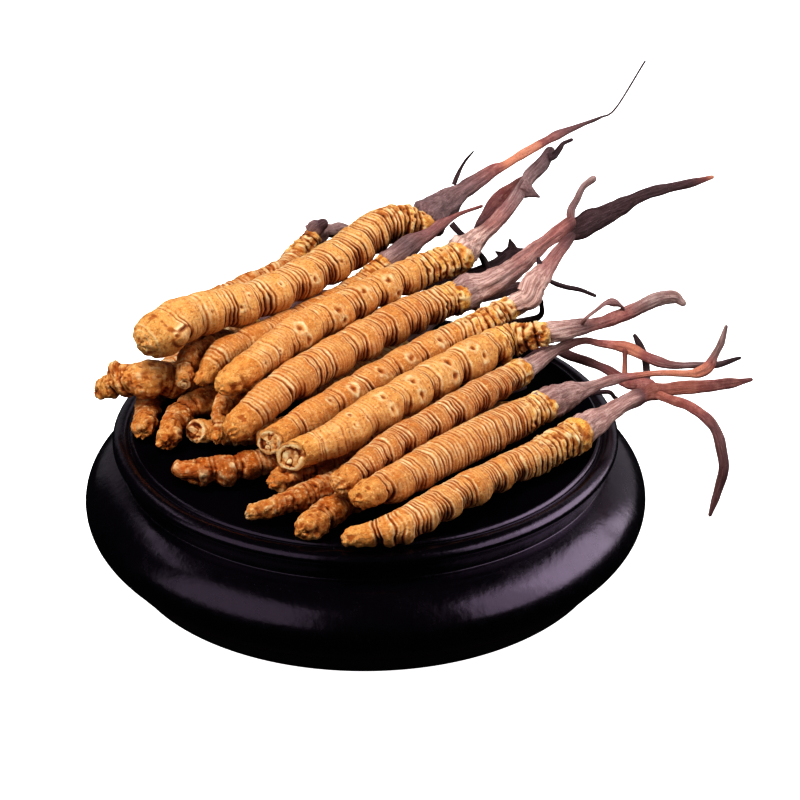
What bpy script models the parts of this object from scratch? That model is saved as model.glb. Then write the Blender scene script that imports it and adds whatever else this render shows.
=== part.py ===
"""A heap of twenty dried cordyceps lying on a round black lacquered stand.

Each cordyceps is an insect body (larva) with a dark fungus stalk grown
from its head.  All of them point the same way, about forty degrees to the
right of straight back, tails to the front left.  Lengths are in millimetres
here and become metres in the meshes.  Z is up, the origin is the middle of
the stand's underside.
"""
import math

import bmesh
import bpy
from mathutils import Matrix, Vector

MM = 0.001

# ---------------------------------------------------------------- dimensions
STAND_RADIUS = 45.0        # widest, at the rounded belly
STAND_HEIGHT = 22.0        # flat top of the plate
FOOT_RADIUS = 38.9         # where the stand meets the table
FOOT_LINE = (42.6, 4.9)    # radius and height of the crease above the foot
BELLY_CENTRE = (35.5, 9.65)   # centre of the belly's elliptical section
BELLY_HALF = (9.5, 7.1)    # its half width and half height
NECK_RADIUS = 38.6         # waist between belly and plate
STAND_SIDES = 40

LARVA_SIDES = 9
STALK_SIDES = 6
LARVA_STEP = 5.3           # distance between cross sections along a larva
STALK_STEP = 6.0
JOINT_GAP = 0.2            # clearance between a larva's head and its stalk

# Centrelines.  One row per bend: x, y, z and half thickness, tail end first.
LARVAE = {
    # front, narrow tail on the rim
    1: [(-2, -39, 24, 1.5), (5.5, -37.5, 25, 2.8), (13, -30, 25.5, 2.8), (19.5, -22.5, 25, 2.7), (26, -16.5, 25, 2.8), (32.5, -10.5, 25.5, 3)],
    # second row, thick
    2: [(0, -34, 28.5, 2.2), (6, -28, 28, 3), (12, -21, 28, 3.2), (20, -12, 27.5, 3.3), (27.5, -4.5, 27.5, 2.8)],
    # in the groove behind the second
    3: [(-3, -30.5, 29, 2.1), (4.5, -21, 30, 2.6), (10.5, -14, 30, 2.6), (18, -5, 30, 2.7), (24, 3, 29.5, 2.4)],
    # third row, pale, sunken tail face
    4: [(-11, -22.5, 29, 2.4), (-4, -20, 31, 2.9), (3, -12.5, 32, 3), (20.5, 7.5, 32, 3.1), (27.5, 9, 33.5, 2.1)],
    # round tail face showing, under its neighbours
    5: [(-14.5, -18, 29, 2.1), (-6, -9.5, 30, 2.7), (3.5, 0.5, 31, 2.7), (13, 9.25, 32, 2.75), (18, 12.75, 33, 2.5), (22.75, 16.75, 34, 2)],
    # strongly ringed
    6: [(-19.5, -15.5, 30.5, 2.5), (-12.5, -7.5, 33, 3.1), (-4.5, 2, 33.5, 3.1), (6, 13.5, 34, 3.3), (14.5, 20, 34.5, 2.9)],
    # knobbly, with paired legs
    7: [(-21, -8.5, 34.5, 2.2), (-17.5, -5, 35.5, 2.7), (-9, 6, 36.5, 2.9), (6.5, 22.5, 37, 2.9), (14.5, 28, 37.5, 2.7)],
    # only a strip shows
    8: [(-25.5, -2, 31.5, 1.4), (-22, 2.5, 33.5, 2.5), (-9, 14, 34.25, 2.55), (-1.5, 22, 35, 2.45), (2.25, 25.25, 37.5, 1.7)],
    # top of the heap, head curls over
    9: [(-32.5, 0.5, 38, 3.9), (-28, 4.5, 39, 3.65), (-17, 12, 38.5, 3.3), (-5.5, 24.5, 38.75, 3.5), (3, 34, 40.5, 3.5), (8.5, 37, 39.25, 2.75)],
    # behind the top one
    10: [(-26.5, 18.25, 33.5, 2.45), (-22, 19.5, 35, 2.6), (-17.5, 22.5, 35.5, 2.7), (-13.5, 25.75, 36, 2.5), (-11.25, 30, 37, 2.1), (-9.25, 33, 38.5, 1.7)],
    # on the plate, under the front rows
    11: [(-8, -36, 24.5, 2.3), (-4.5, -31, 24.5, 2.2), (10, -15.5, 24.5, 2.4), (22, -1.5, 24.5, 2.2)],
    # on the plate, thin tail
    12: [(-17, -31.5, 24, 1.1), (-11.5, -29, 24.5, 2), (1, -18, 24.5, 2.3), (15.5, -2, 24.5, 1.9)],
    # knobbly tail end
    13: [(-12.5, -22, 24.5, 2), (-6, -18, 24.5, 2.3), (6, -4.5, 25, 2.5), (15.5, 3.5, 24.5, 2)],
    # on the plate at the left
    14: [(-28.5, -16.5, 23.5, 1.2), (-26, -19.5, 24.5, 2.1), (-14, -16, 24.5, 2.3), (-3, -6, 24.5, 2.3), (3, 1.5, 24.5, 2.1)],
    # bright tail face
    15: [(-26.5, -6.5, 24.5, 1.8), (-13.5, -7.5, 25, 2.4), (-6, -2, 24.5, 2.3), (1.5, 7, 24.5, 2.2)],
    # thin tail turned down
    16: [(-23, -12, 26.5, 0.9), (-21, -4, 29, 1.9), (-8.5, 6.5, 25, 2.3), (-3.5, 10.5, 24.5, 2.3), (6, 20.5, 24.5, 2)],
    # tail curls down to the plate
    17: [(-31, -8.5, 24, 1.7), (-29.5, -3, 25, 2.3), (-24, 1.5, 26, 2.2), (-15, 7.5, 24.5, 2.3), (-7.5, 16.5, 24.5, 2.1)],
    # on the plate at the far left
    18: [(-35, -4.5, 24, 1.9), (-33.5, 9, 24.5, 2.3), (-26.5, 21, 25, 2.4), (-20, 28.5, 24.5, 2.3)],
    # overhangs the rim at the left
    19: [(-41.75, 4.25, 26.5, 1.6), (-38.75, 3, 28, 2.45), (-33.5, 1.5, 29.5, 3), (-23.5, 9, 25.5, 2.4), (-16.5, 16, 24.5, 2.1)],
    # thin tail curls down under the top one
    20: [(-28.5, -3, 31, 1.1), (-28, 2, 33, 1.7), (-24, 8.5, 32.5, 2.2), (-15, 13, 28, 2.3), (-7.5, 22, 28, 2.1)],
}

STALKS = {
    1: [(35, -7.5, 25.5, 2.2), (39.25, -4.25, 27, 1.45), (42, -2.25, 27.75, 1.4), (44.5, -0.75, 28, 1.35), (46, -0.25, 28.25, 1.45), (47.25, -0.25, 28.5, 1.1), (51.25, -0.25, 29, 1.1), (54, -0.25, 29.25, 0.95), (58, 1, 29, 0.8), (61.25, 1.75, 29.25, 0.35)],
    2: [(29, -5.5, 28.5, 2.3), (32.75, -1.75, 28.75, 1.75), (35.25, -0.25, 28.75, 1.1), (39, 2, 29, 0.85), (42.5, 3, 29.25, 0.55), (47, 4, 29.25, 0.5), (51.5, 4.25, 29, 0.55), (53.25, 4.25, 29.25, 0.85), (54.75, 4.75, 30, 0.95), (55.75, 5.5, 31.75, 0.7), (56.75, 6.25, 33.5, 0.65), (57.5, 7.25, 35.75, 0.35)],
    3: [(27, 5.5, 29.5, 1.6), (31.5, 10.5, 30.5, 0.9), (35, 12.25, 30.75, 0.65), (37.75, 12.25, 30.25, 0.6), (42, 11.75, 29.75, 0.95), (45, 9.75, 29.25, 0.8), (47.5, 8.5, 28.75, 0.9), (50.5, 8, 28.5, 0.75), (54.25, 7.75, 28.75, 0.55), (56.5, 8.25, 28.5, 0.75), (60, 9.5, 29, 0.35)],
    4: [(30, 9.5, 33.5, 1.6), (34, 11.5, 33.5, 1.35), (37.75, 13.75, 33.25, 1.15), (42, 17.25, 33, 1.15), (44.75, 19.5, 33.25, 1.25), (47.5, 22, 33.25, 1.1), (50.25, 22.75, 33.25, 1.05), (51.5, 22.5, 32.5, 0.65)],
    5: [(25.5, 15.25, 35, 1.75), (26.5, 17, 36.25, 2.15), (27.25, 18.25, 37.75, 2.15), (28.5, 19.5, 39, 1.7), (29.75, 21, 40, 1.3), (31.5, 23.25, 41.5, 1.05), (33.25, 25.5, 42.75, 0.8)],
    6: [(18, 20, 36, 2.5), (20.5, 22, 36.5, 2.2), (24.5, 25.5, 37.5, 1.75), (28.25, 29, 39.25, 1.3), (33.25, 34, 41, 1.2)],
    7: [(17.25, 30.5, 38.75, 2.05), (19, 32.5, 40, 1.45), (21.5, 34.75, 41.25, 1.3), (23.75, 37.25, 42.75, 1.15), (25.5, 39.75, 44.5, 1.2), (27, 43, 45.25, 1.2), (29.25, 46, 46.25, 1.05), (30.5, 48, 47.5, 0.85)],
    8: [(3.5, 26.75, 38.5, 1.85), (6, 28.75, 38.75, 1.7), (8.25, 31.25, 39.25, 1.35), (10.5, 33.5, 39.5, 1.05), (12.25, 35.75, 40, 0.95), (14, 37.75, 40.25, 0.55), (15.75, 39.25, 40.5, 0.45), (19, 40.75, 41, 0.3)],
    9: [(11.5, 40.75, 40.75, 3.25), (15.25, 44.25, 41.5, 1.7), (17, 46.75, 41.75, 1.45), (19.5, 49.5, 42.25, 1.25), (21.25, 51, 42.75, 0.95), (23.25, 52.5, 43, 0.75), (26.75, 55.5, 44, 0.7), (31.75, 59.75, 45, 0.8), (36.75, 63, 45.75, 0.5), (39.75, 64.75, 46.25, 0.35), (42.5, 67.5, 46.75, 0.3), (47.5, 72.25, 53.25, 0.3)],
    10: [(-8.75, 34, 40.25, 1.7), (-7, 36.25, 38.75, 1.25), (-5.5, 37.5, 38, 1.25), (-4.25, 38.5, 37.75, 1.4), (-2.5, 39, 37, 1), (-0.5, 38.75, 35.75, 0.65)],
    11: [(25.5, 2, 25, 0.9), (37.5, 4.5, 25.5, 0.4), (40, 1.5, 26, 0.3)],
    12: [(18.5, 2.5, 25, 0.9), (22.5, 6, 24.5, 0.6), (25.5, 8, 24.5, 0.4)],
    13: [(19.5, 9.5, 25.5, 1.1), (24.5, 12, 26, 1), (29.5, 15.25, 27.5, 0.7), (33.5, 14.25, 26.75, 0.75), (38.25, 11.5, 26.25, 0.75), (41, 9, 25.75, 0.8), (43.25, 7.25, 25.75, 1.05), (45.5, 5.75, 26.25, 0.85)],
    14: [(5.5, 5.5, 24.5, 1.1), (10.5, 11.5, 24.5, 1), (16, 17, 24.5, 0.5)],
    15: [(4, 11, 27.5, 1.2), (9.5, 13.5, 28, 1), (22, 18.5, 30, 0.8), (28, 19, 31.5, 0.5), (28.5, 18.5, 34.5, 0.4)],
    16: [(8.5, 30, 27.5, 1), (14, 26.5, 30, 0.95), (17, 24.5, 32, 1), (20.25, 25.5, 32.25, 1.05), (23.25, 26.5, 32.75, 0.95), (26.25, 27.5, 33.25, 0.6)],
    17: [(-6.5, 23.5, 25, 1.1), (-2, 27, 26, 1.1), (1.5, 30.5, 26, 0.9), (6.5, 35, 26.5, 0.5)],
    18: [(-18.5, 32, 24.5, 1.2), (-13, 36.5, 24, 1.1), (-9.5, 39.5, 24.5, 0.9), (-4, 42.5, 24.5, 0.5)],
    19: [(-13.5, 29, 24.5, 1.2), (-7.5, 34, 24.5, 1), (-1, 38.5, 25, 0.5)],
    20: [(-3.5, 38.5, 27.5, 1.1), (4, 35, 29, 1), (10.5, 32, 31, 1), (16.5, 31.5, 33, 0.8), (21.5, 33, 34, 1.1), (24, 35, 35, 1.3), (25.5, 35, 35.5, 0.6)],
}

FORKS = {
    "stalk_01_prong": [(48.25, -2, 27.75, 0.7), (51, -4, 27.75, 0.9), (53.25, -5.75, 27, 0.8), (55, -7.25, 25.5, 0.8), (56, -9, 23.25, 0.85), (56.5, -10.25, 20, 0.8), (55.75, -11, 16.5, 0.7), (54.5, -12.75, 13, 0.35)],
    "stalk_04_loop": [(35.5, 10.75, 35.75, 0.3), (37.25, 13.5, 35.75, 0.35), (38.75, 15.75, 35.75, 0.45), (40, 16.5, 35.5, 0.65), (41.25, 16.75, 34.75, 0.3)],
    "stalk_05_needle": [(31, 19, 37.5, 0.4), (32.5, 19, 37, 0.4), (34.75, 19, 36.5, 0.35), (37, 18.5, 35.75, 0.3)],
    "stalk_06_blade": [(35.75, 35.75, 39.75, 1.9), (37.25, 36.75, 40.25, 1.95), (39.5, 37.75, 41, 1.75), (42.25, 38.75, 42, 1.3), (46, 40, 43.5, 0.95), (49.5, 40.75, 44.25, 0.85), (53.75, 41.75, 44.75, 0.7), (57.25, 42.5, 45.5, 0.35)],
    "stalk_06_twig": [(33.75, 36, 42.5, 0.65), (34.75, 37.25, 44, 0.6), (35.75, 38.25, 45.75, 0.55), (37.25, 38.5, 47, 0.6)],
    "stalk_07_blade": [(17.5, 33.75, 40, 0.3), (19.5, 36.5, 41.25, 0.8), (21.5, 39.25, 42.75, 1.05), (23.75, 42, 44, 0.65), (25.25, 44, 44.5, 0.35)],
    "stalk_13_leaf": [(45.25, 10, 26.5, 0.6), (45, 11.25, 28.25, 0.65), (44.25, 12.5, 29.75, 0.65), (43.5, 13.25, 31, 0.35)],
}

# ------------------------------------------------------------------ geometry
def spline(rows, step):
    """Catmull-Rom curve through the rows, as (point, half thickness) pairs."""
    pts = [Vector(r) for r in rows]
    ends = [2 * pts[0] - pts[1]] + pts + [2 * pts[-1] - pts[-2]]
    low = min(r[3] for r in rows)
    high = max(r[3] for r in rows)
    out = []
    for i in range(1, len(ends) - 2):
        a, b, c, d = ends[i - 1:i + 3]
        count = max(1, math.ceil((c.xyz - b.xyz).length / step))
        for k in range(count):
            t = k / count
            out.append(0.5 * (2 * b + (c - a) * t
                              + (2 * a - 5 * b + 4 * c - d) * t * t
                              + (3 * b - 3 * c + d - a) * t ** 3))
    out.append(pts[-1])
    return [(p.xyz, min(high, max(low, p.w))) for p in out]


def stations(path, round_start, round_end):
    """Cross sections along a path: centre, direction and radius.

    A rounded end adds two shrinking sections past the last point, so the
    end closes like a hemisphere with a small flat."""
    n = len(path)
    rings = []
    for i, (p, r) in enumerate(path):
        before = path[max(0, i - 1)][0]
        after = path[min(n - 1, i + 1)][0]
        rings.append((p, (after - before).normalized(), r))
    def cap(centre, way, r):
        return [(centre + way * (r * math.sin(math.radians(a))), way,
                 r * math.cos(math.radians(a))) for a in (38, 72)]
    if round_start:
        p, d, r = rings[0]
        rings = [(c, d, q) for c, _, q in reversed(cap(p, -d, r))] + rings
    if round_end:
        p, d, r = rings[-1]
        rings += cap(p, d, r)
    return rings


def frames(rings):
    """Turns each section as little as possible from the one before it."""
    out = []
    up = Vector((0, 0, 1))
    for centre, way, radius in rings:
        side = up.cross(way)
        if side.length < 1e-4:
            side = Vector((1, 0, 0))
        side.normalize()
        up = way.cross(side).normalized()
        turn = Matrix((side, up, way)).transposed().to_4x4()
        out.append((Matrix.Translation(centre * MM) @ turn, radius * MM))
    return out


def loft(name, placed, sides, material, origin):
    """Skins a row of circles and closes both ends with flat faces."""
    bm = bmesh.new()
    last = None
    for i, (matrix, radius) in enumerate(placed):
        closed = i in (0, len(placed) - 1)
        ring = bmesh.ops.create_circle(
            bm, cap_ends=closed, segments=sides, radius=radius,
            matrix=Matrix.Translation(-origin * MM) @ matrix)["verts"]
        inside = set(ring)
        edges = [e for e in bm.edges if e.verts[0] in inside and e.verts[1] in inside]
        if last is not None:
            bmesh.ops.bridge_loops(bm, edges=last + edges)
        last = edges
    bmesh.ops.recalc_face_normals(bm, faces=bm.faces[:])
    mesh = bpy.data.meshes.new(name)
    bm.to_mesh(mesh)
    bm.free()
    mesh.shade_smooth()
    mesh.set_sharp_from_angle(angle=math.radians(50))
    mesh.materials.append(material)
    obj = bpy.data.objects.new(name, mesh)
    obj.location = origin * MM
    bpy.context.scene.collection.objects.link(obj)
    return obj


def material(name, colour, roughness, metallic=0.0):
    mat = bpy.data.materials.new(name)
    mat.use_nodes = True
    shader = mat.node_tree.nodes["Principled BSDF"]
    shader.inputs["Base Color"].default_value = (*colour, 1.0)
    shader.inputs["Roughness"].default_value = roughness
    shader.inputs["Metallic"].default_value = metallic
    mat.diffuse_color = (*colour, 1.0)
    return mat


def stand_profile():
    """Radius and height of the turned stand, from the underside up."""
    cr, cz = BELLY_CENTRE
    hr, hz = BELLY_HALF
    low = math.asin((FOOT_LINE[1] - cz) / hz)
    high = math.asin(0.93)
    profile = [(FOOT_RADIUS - 0.6, 0.0), (FOOT_RADIUS, 0.5),
               (FOOT_LINE[0] - 1.2, 3.4), FOOT_LINE]
    for k in range(1, 8):
        a = low + (high - low) * k / 7
        profile.append((cr + hr * math.cos(a), cz + hz * math.sin(a)))
    profile += [(NECK_RADIUS, 17.2), (NECK_RADIUS + 0.3, 18.2),
                (40.1, 19.0), (40.4, 19.8), (39.8, 20.6), (39.2, 21.0),
                (39.1, 21.5), (38.3, STAND_HEIGHT)]
    return profile


# --------------------------------------------------------------------- build
for old in list(bpy.data.objects):
    bpy.data.objects.remove(old, do_unlink=True)

LARVA = material("larva_skin", (0.62, 0.33, 0.11), 0.62)
STALK = material("stalk_fibre", (0.16, 0.085, 0.075), 0.7)
LACQUER = material("black_lacquer", (0.012, 0.009, 0.012), 0.2)

stand = loft("stand",
             [(Matrix.Translation((0, 0, z * MM)), r * MM) for r, z in stand_profile()],
             STAND_SIDES, LACQUER, Vector((0, 0, 0)))

bundle = bpy.data.objects.new("cordyceps_bundle", None)
bpy.context.scene.collection.objects.link(bundle)
stand.parent = bundle

for number, rows in LARVAE.items():
    path = spline(rows, LARVA_STEP)
    body = loft("larva_%02d" % number, frames(stations(path, True, True)),
                LARVA_SIDES, LARVA, path[0][0])
    body.parent = bundle

for number, rows in STALKS.items():
    # The stalk stands on the head: a flat foot just clear of its round end.
    head = Vector(LARVAE[number][-1])
    way = (Vector(rows[1]).xyz - head.xyz).normalized()
    foot = head.xyz + way * (head.w + JOINT_GAP)
    path = spline([(*foot, rows[0][3])] + rows[1:], STALK_STEP)
    rings = stations(path, False, True)
    rings[0] = (rings[0][0], way, rings[0][2])
    stalk = loft("stalk_%02d" % number, frames(rings), STALK_SIDES, STALK, foot)
    stalk.parent = bundle

for name, rows in FORKS.items():
    path = spline(rows, STALK_STEP)
    fork = loft(name, frames(stations(path, True, True)), STALK_SIDES, STALK, path[0][0])
    fork.parent = bundle
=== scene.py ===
"""Looks of a heap of dried cordyceps on a round black lacquered stand.

Each larva, stalk and the stand replaces its plain solid with a fine mesh
built round the same centrelines.  Tables are in millimetres, one row per
bend: x, y, z and half thickness, tail end first.  Everything in a mesh is in
metres, Z up, the origin in the middle of the stand's underside.
"""
import math

import bpy
import numpy as np
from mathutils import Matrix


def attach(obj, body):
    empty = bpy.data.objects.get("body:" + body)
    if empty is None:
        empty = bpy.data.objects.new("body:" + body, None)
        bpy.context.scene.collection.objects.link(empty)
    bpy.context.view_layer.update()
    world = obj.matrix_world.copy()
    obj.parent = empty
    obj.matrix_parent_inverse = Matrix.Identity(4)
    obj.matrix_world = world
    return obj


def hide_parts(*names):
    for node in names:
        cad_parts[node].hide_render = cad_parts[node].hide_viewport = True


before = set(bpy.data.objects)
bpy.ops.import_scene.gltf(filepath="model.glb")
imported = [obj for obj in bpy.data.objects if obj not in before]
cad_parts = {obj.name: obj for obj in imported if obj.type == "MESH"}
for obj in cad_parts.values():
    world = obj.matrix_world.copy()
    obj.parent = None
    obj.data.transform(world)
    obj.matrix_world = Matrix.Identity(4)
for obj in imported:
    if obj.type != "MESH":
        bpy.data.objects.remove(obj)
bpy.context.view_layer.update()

MM = 0.001

# ------------------------------------------------------------------- layout
LARVAE = {
    # front, narrow tail on the rim
    1: [(-2, -39, 24, 1.5), (5.5, -37.5, 25, 2.8), (13, -30, 25.5, 2.8), (19.5, -22.5, 25, 2.7), (26, -16.5, 25, 2.8), (32.5, -10.5, 25.5, 3)],
    # second row, thick
    2: [(0, -34, 28.5, 2.2), (6, -28, 28, 3), (12, -21, 28, 3.2), (20, -12, 27.5, 3.3), (27.5, -4.5, 27.5, 2.8)],
    # in the groove behind the second
    3: [(-3, -30.5, 29, 2.1), (4.5, -21, 30, 2.6), (10.5, -14, 30, 2.6), (18, -5, 30, 2.7), (24, 3, 29.5, 2.4)],
    # third row, pale, sunken tail face
    4: [(-11, -22.5, 29, 2.4), (-4, -20, 31, 2.9), (3, -12.5, 32, 3), (20.5, 7.5, 32, 3.1), (27.5, 9, 33.5, 2.1)],
    # round tail face showing, under its neighbours
    5: [(-14.5, -18, 29, 2.1), (-6, -9.5, 30, 2.7), (3.5, 0.5, 31, 2.7), (13, 9.25, 32, 2.75), (18, 12.75, 33, 2.5), (22.75, 16.75, 34, 2)],
    # strongly ringed
    6: [(-19.5, -15.5, 30.5, 2.5), (-12.5, -7.5, 33, 3.1), (-4.5, 2, 33.5, 3.1), (6, 13.5, 34, 3.3), (14.5, 20, 34.5, 2.9)],
    # knobbly, with paired legs
    7: [(-21, -8.5, 34.5, 2.2), (-17.5, -5, 35.5, 2.7), (-9, 6, 36.5, 2.9), (6.5, 22.5, 37, 2.9), (14.5, 28, 37.5, 2.7)],
    # only a strip shows
    8: [(-25.5, -2, 31.5, 1.4), (-22, 2.5, 33.5, 2.5), (-9, 14, 34.25, 2.55), (-1.5, 22, 35, 2.45), (2.25, 25.25, 37.5, 1.7)],
    # top of the heap, head curls over
    9: [(-32.5, 0.5, 38, 3.9), (-28, 4.5, 39, 3.65), (-17, 12, 38.5, 3.3), (-5.5, 24.5, 38.75, 3.5), (3, 34, 40.5, 3.5), (8.5, 37, 39.25, 2.75)],
    # behind the top one
    10: [(-26.5, 18.25, 33.5, 2.45), (-22, 19.5, 35, 2.6), (-17.5, 22.5, 35.5, 2.7), (-13.5, 25.75, 36, 2.5), (-11.25, 30, 37, 2.1), (-9.25, 33, 38.5, 1.7)],
    # on the plate, under the front rows
    11: [(-8, -36, 24.5, 2.3), (-4.5, -31, 24.5, 2.2), (10, -15.5, 24.5, 2.4), (22, -1.5, 24.5, 2.2)],
    # on the plate, thin tail
    12: [(-17, -31.5, 24, 1.1), (-11.5, -29, 24.5, 2), (1, -18, 24.5, 2.3), (15.5, -2, 24.5, 1.9)],
    # knobbly tail end
    13: [(-12.5, -22, 24.5, 2), (-6, -18, 24.5, 2.3), (6, -4.5, 25, 2.5), (15.5, 3.5, 24.5, 2)],
    # on the plate at the left
    14: [(-28.5, -16.5, 23.5, 1.2), (-26, -19.5, 24.5, 2.1), (-14, -16, 24.5, 2.3), (-3, -6, 24.5, 2.3), (3, 1.5, 24.5, 2.1)],
    # bright tail face
    15: [(-26.5, -6.5, 24.5, 1.8), (-13.5, -7.5, 25, 2.4), (-6, -2, 24.5, 2.3), (1.5, 7, 24.5, 2.2)],
    # thin tail turned down
    16: [(-23, -12, 26.5, 0.9), (-21, -4, 29, 1.9), (-8.5, 6.5, 25, 2.3), (-3.5, 10.5, 24.5, 2.3), (6, 20.5, 24.5, 2)],
    # tail curls down to the plate
    17: [(-31, -8.5, 24, 1.7), (-29.5, -3, 25, 2.3), (-24, 1.5, 26, 2.2), (-15, 7.5, 24.5, 2.3), (-7.5, 16.5, 24.5, 2.1)],
    # on the plate at the far left
    18: [(-35, -4.5, 24, 1.9), (-33.5, 9, 24.5, 2.3), (-26.5, 21, 25, 2.4), (-20, 28.5, 24.5, 2.3)],
    # overhangs the rim at the left
    19: [(-41.75, 4.25, 26.5, 1.6), (-38.75, 3, 28, 2.45), (-33.5, 1.5, 29.5, 3), (-23.5, 9, 25.5, 2.4), (-16.5, 16, 24.5, 2.1)],
    # thin tail curls down under the top one
    20: [(-28.5, -3, 31, 1.1), (-28, 2, 33, 1.7), (-24, 8.5, 32.5, 2.2), (-15, 13, 28, 2.3), (-7.5, 22, 28, 2.1)],
}

STALKS = {
    1: [(35, -7.5, 25.5, 2.2), (39.25, -4.25, 27, 1.45), (42, -2.25, 27.75, 1.4), (44.5, -0.75, 28, 1.35), (46, -0.25, 28.25, 1.45), (47.25, -0.25, 28.5, 1.1), (51.25, -0.25, 29, 1.1), (54, -0.25, 29.25, 0.95), (58, 1, 29, 0.8), (61.25, 1.75, 29.25, 0.35)],
    2: [(29, -5.5, 28.5, 2.3), (32.75, -1.75, 28.75, 1.75), (35.25, -0.25, 28.75, 1.1), (39, 2, 29, 0.85), (42.5, 3, 29.25, 0.55), (47, 4, 29.25, 0.5), (51.5, 4.25, 29, 0.55), (53.25, 4.25, 29.25, 0.85), (54.75, 4.75, 30, 0.95), (55.75, 5.5, 31.75, 0.7), (56.75, 6.25, 33.5, 0.65), (57.5, 7.25, 35.75, 0.35)],
    3: [(27, 5.5, 29.5, 1.6), (31.5, 10.5, 30.5, 0.9), (35, 12.25, 30.75, 0.65), (37.75, 12.25, 30.25, 0.6), (42, 11.75, 29.75, 0.95), (45, 9.75, 29.25, 0.8), (47.5, 8.5, 28.75, 0.9), (50.5, 8, 28.5, 0.75), (54.25, 7.75, 28.75, 0.55), (56.5, 8.25, 28.5, 0.75), (60, 9.5, 29, 0.35)],
    4: [(30, 9.5, 33.5, 1.6), (34, 11.5, 33.5, 1.35), (37.75, 13.75, 33.25, 1.15), (42, 17.25, 33, 1.15), (44.75, 19.5, 33.25, 1.25), (47.5, 22, 33.25, 1.1), (50.25, 22.75, 33.25, 1.05), (51.5, 22.5, 32.5, 0.65)],
    5: [(25.5, 15.25, 35, 1.75), (26.5, 17, 36.25, 2.15), (27.25, 18.25, 37.75, 2.15), (28.5, 19.5, 39, 1.7), (29.75, 21, 40, 1.3), (31.5, 23.25, 41.5, 1.05), (33.25, 25.5, 42.75, 0.8)],
    6: [(18, 20, 36, 2.5), (20.5, 22, 36.5, 2.2), (24.5, 25.5, 37.5, 1.75), (28.25, 29, 39.25, 1.3), (33.25, 34, 41, 1.2)],
    7: [(17.25, 30.5, 38.75, 2.05), (19, 32.5, 40, 1.45), (21.5, 34.75, 41.25, 1.3), (23.75, 37.25, 42.75, 1.15), (25.5, 39.75, 44.5, 1.2), (27, 43, 45.25, 1.2), (29.25, 46, 46.25, 1.05), (30.5, 48, 47.5, 0.85)],
    8: [(3.5, 26.75, 38.5, 1.85), (6, 28.75, 38.75, 1.7), (8.25, 31.25, 39.25, 1.35), (10.5, 33.5, 39.5, 1.05), (12.25, 35.75, 40, 0.95), (14, 37.75, 40.25, 0.55), (15.75, 39.25, 40.5, 0.45), (19, 40.75, 41, 0.3)],
    9: [(11.5, 40.75, 40.75, 3.25), (15.25, 44.25, 41.5, 1.7), (17, 46.75, 41.75, 1.45), (19.5, 49.5, 42.25, 1.25), (21.25, 51, 42.75, 0.95), (23.25, 52.5, 43, 0.75), (26.75, 55.5, 44, 0.7), (31.75, 59.75, 45, 0.8), (36.75, 63, 45.75, 0.5), (39.75, 64.75, 46.25, 0.35), (42.5, 67.5, 46.75, 0.3), (47.5, 72.25, 53.25, 0.3)],
    10: [(-8.75, 34, 40.25, 1.7), (-7, 36.25, 38.75, 1.25), (-5.5, 37.5, 38, 1.25), (-4.25, 38.5, 37.75, 1.4), (-2.5, 39, 37, 1), (-0.5, 38.75, 35.75, 0.65)],
    11: [(25.5, 2, 25, 0.9), (37.5, 4.5, 25.5, 0.4), (40, 1.5, 26, 0.3)],
    12: [(18.5, 2.5, 25, 0.9), (22.5, 6, 24.5, 0.6), (25.5, 8, 24.5, 0.4)],
    13: [(19.5, 9.5, 25.5, 1.1), (24.5, 12, 26, 1), (29.5, 15.25, 27.5, 0.7), (33.5, 14.25, 26.75, 0.75), (38.25, 11.5, 26.25, 0.75), (41, 9, 25.75, 0.8), (43.25, 7.25, 25.75, 1.05), (45.5, 5.75, 26.25, 0.85)],
    14: [(5.5, 5.5, 24.5, 1.1), (10.5, 11.5, 24.5, 1), (16, 17, 24.5, 0.5)],
    15: [(4, 11, 27.5, 1.2), (9.5, 13.5, 28, 1), (22, 18.5, 30, 0.8), (28, 19, 31.5, 0.5), (28.5, 18.5, 34.5, 0.4)],
    16: [(8.5, 30, 27.5, 1), (14, 26.5, 30, 0.95), (17, 24.5, 32, 1), (20.25, 25.5, 32.25, 1.05), (23.25, 26.5, 32.75, 0.95), (26.25, 27.5, 33.25, 0.6)],
    17: [(-6.5, 23.5, 25, 1.1), (-2, 27, 26, 1.1), (1.5, 30.5, 26, 0.9), (6.5, 35, 26.5, 0.5)],
    18: [(-18.5, 32, 24.5, 1.2), (-13, 36.5, 24, 1.1), (-9.5, 39.5, 24.5, 0.9), (-4, 42.5, 24.5, 0.5)],
    19: [(-13.5, 29, 24.5, 1.2), (-7.5, 34, 24.5, 1), (-1, 38.5, 25, 0.5)],
    20: [(-3.5, 38.5, 27.5, 1.1), (4, 35, 29, 1), (10.5, 32, 31, 1), (16.5, 31.5, 33, 0.8), (21.5, 33, 34, 1.1), (24, 35, 35, 1.3), (25.5, 35, 35.5, 0.6)],
}

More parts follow.
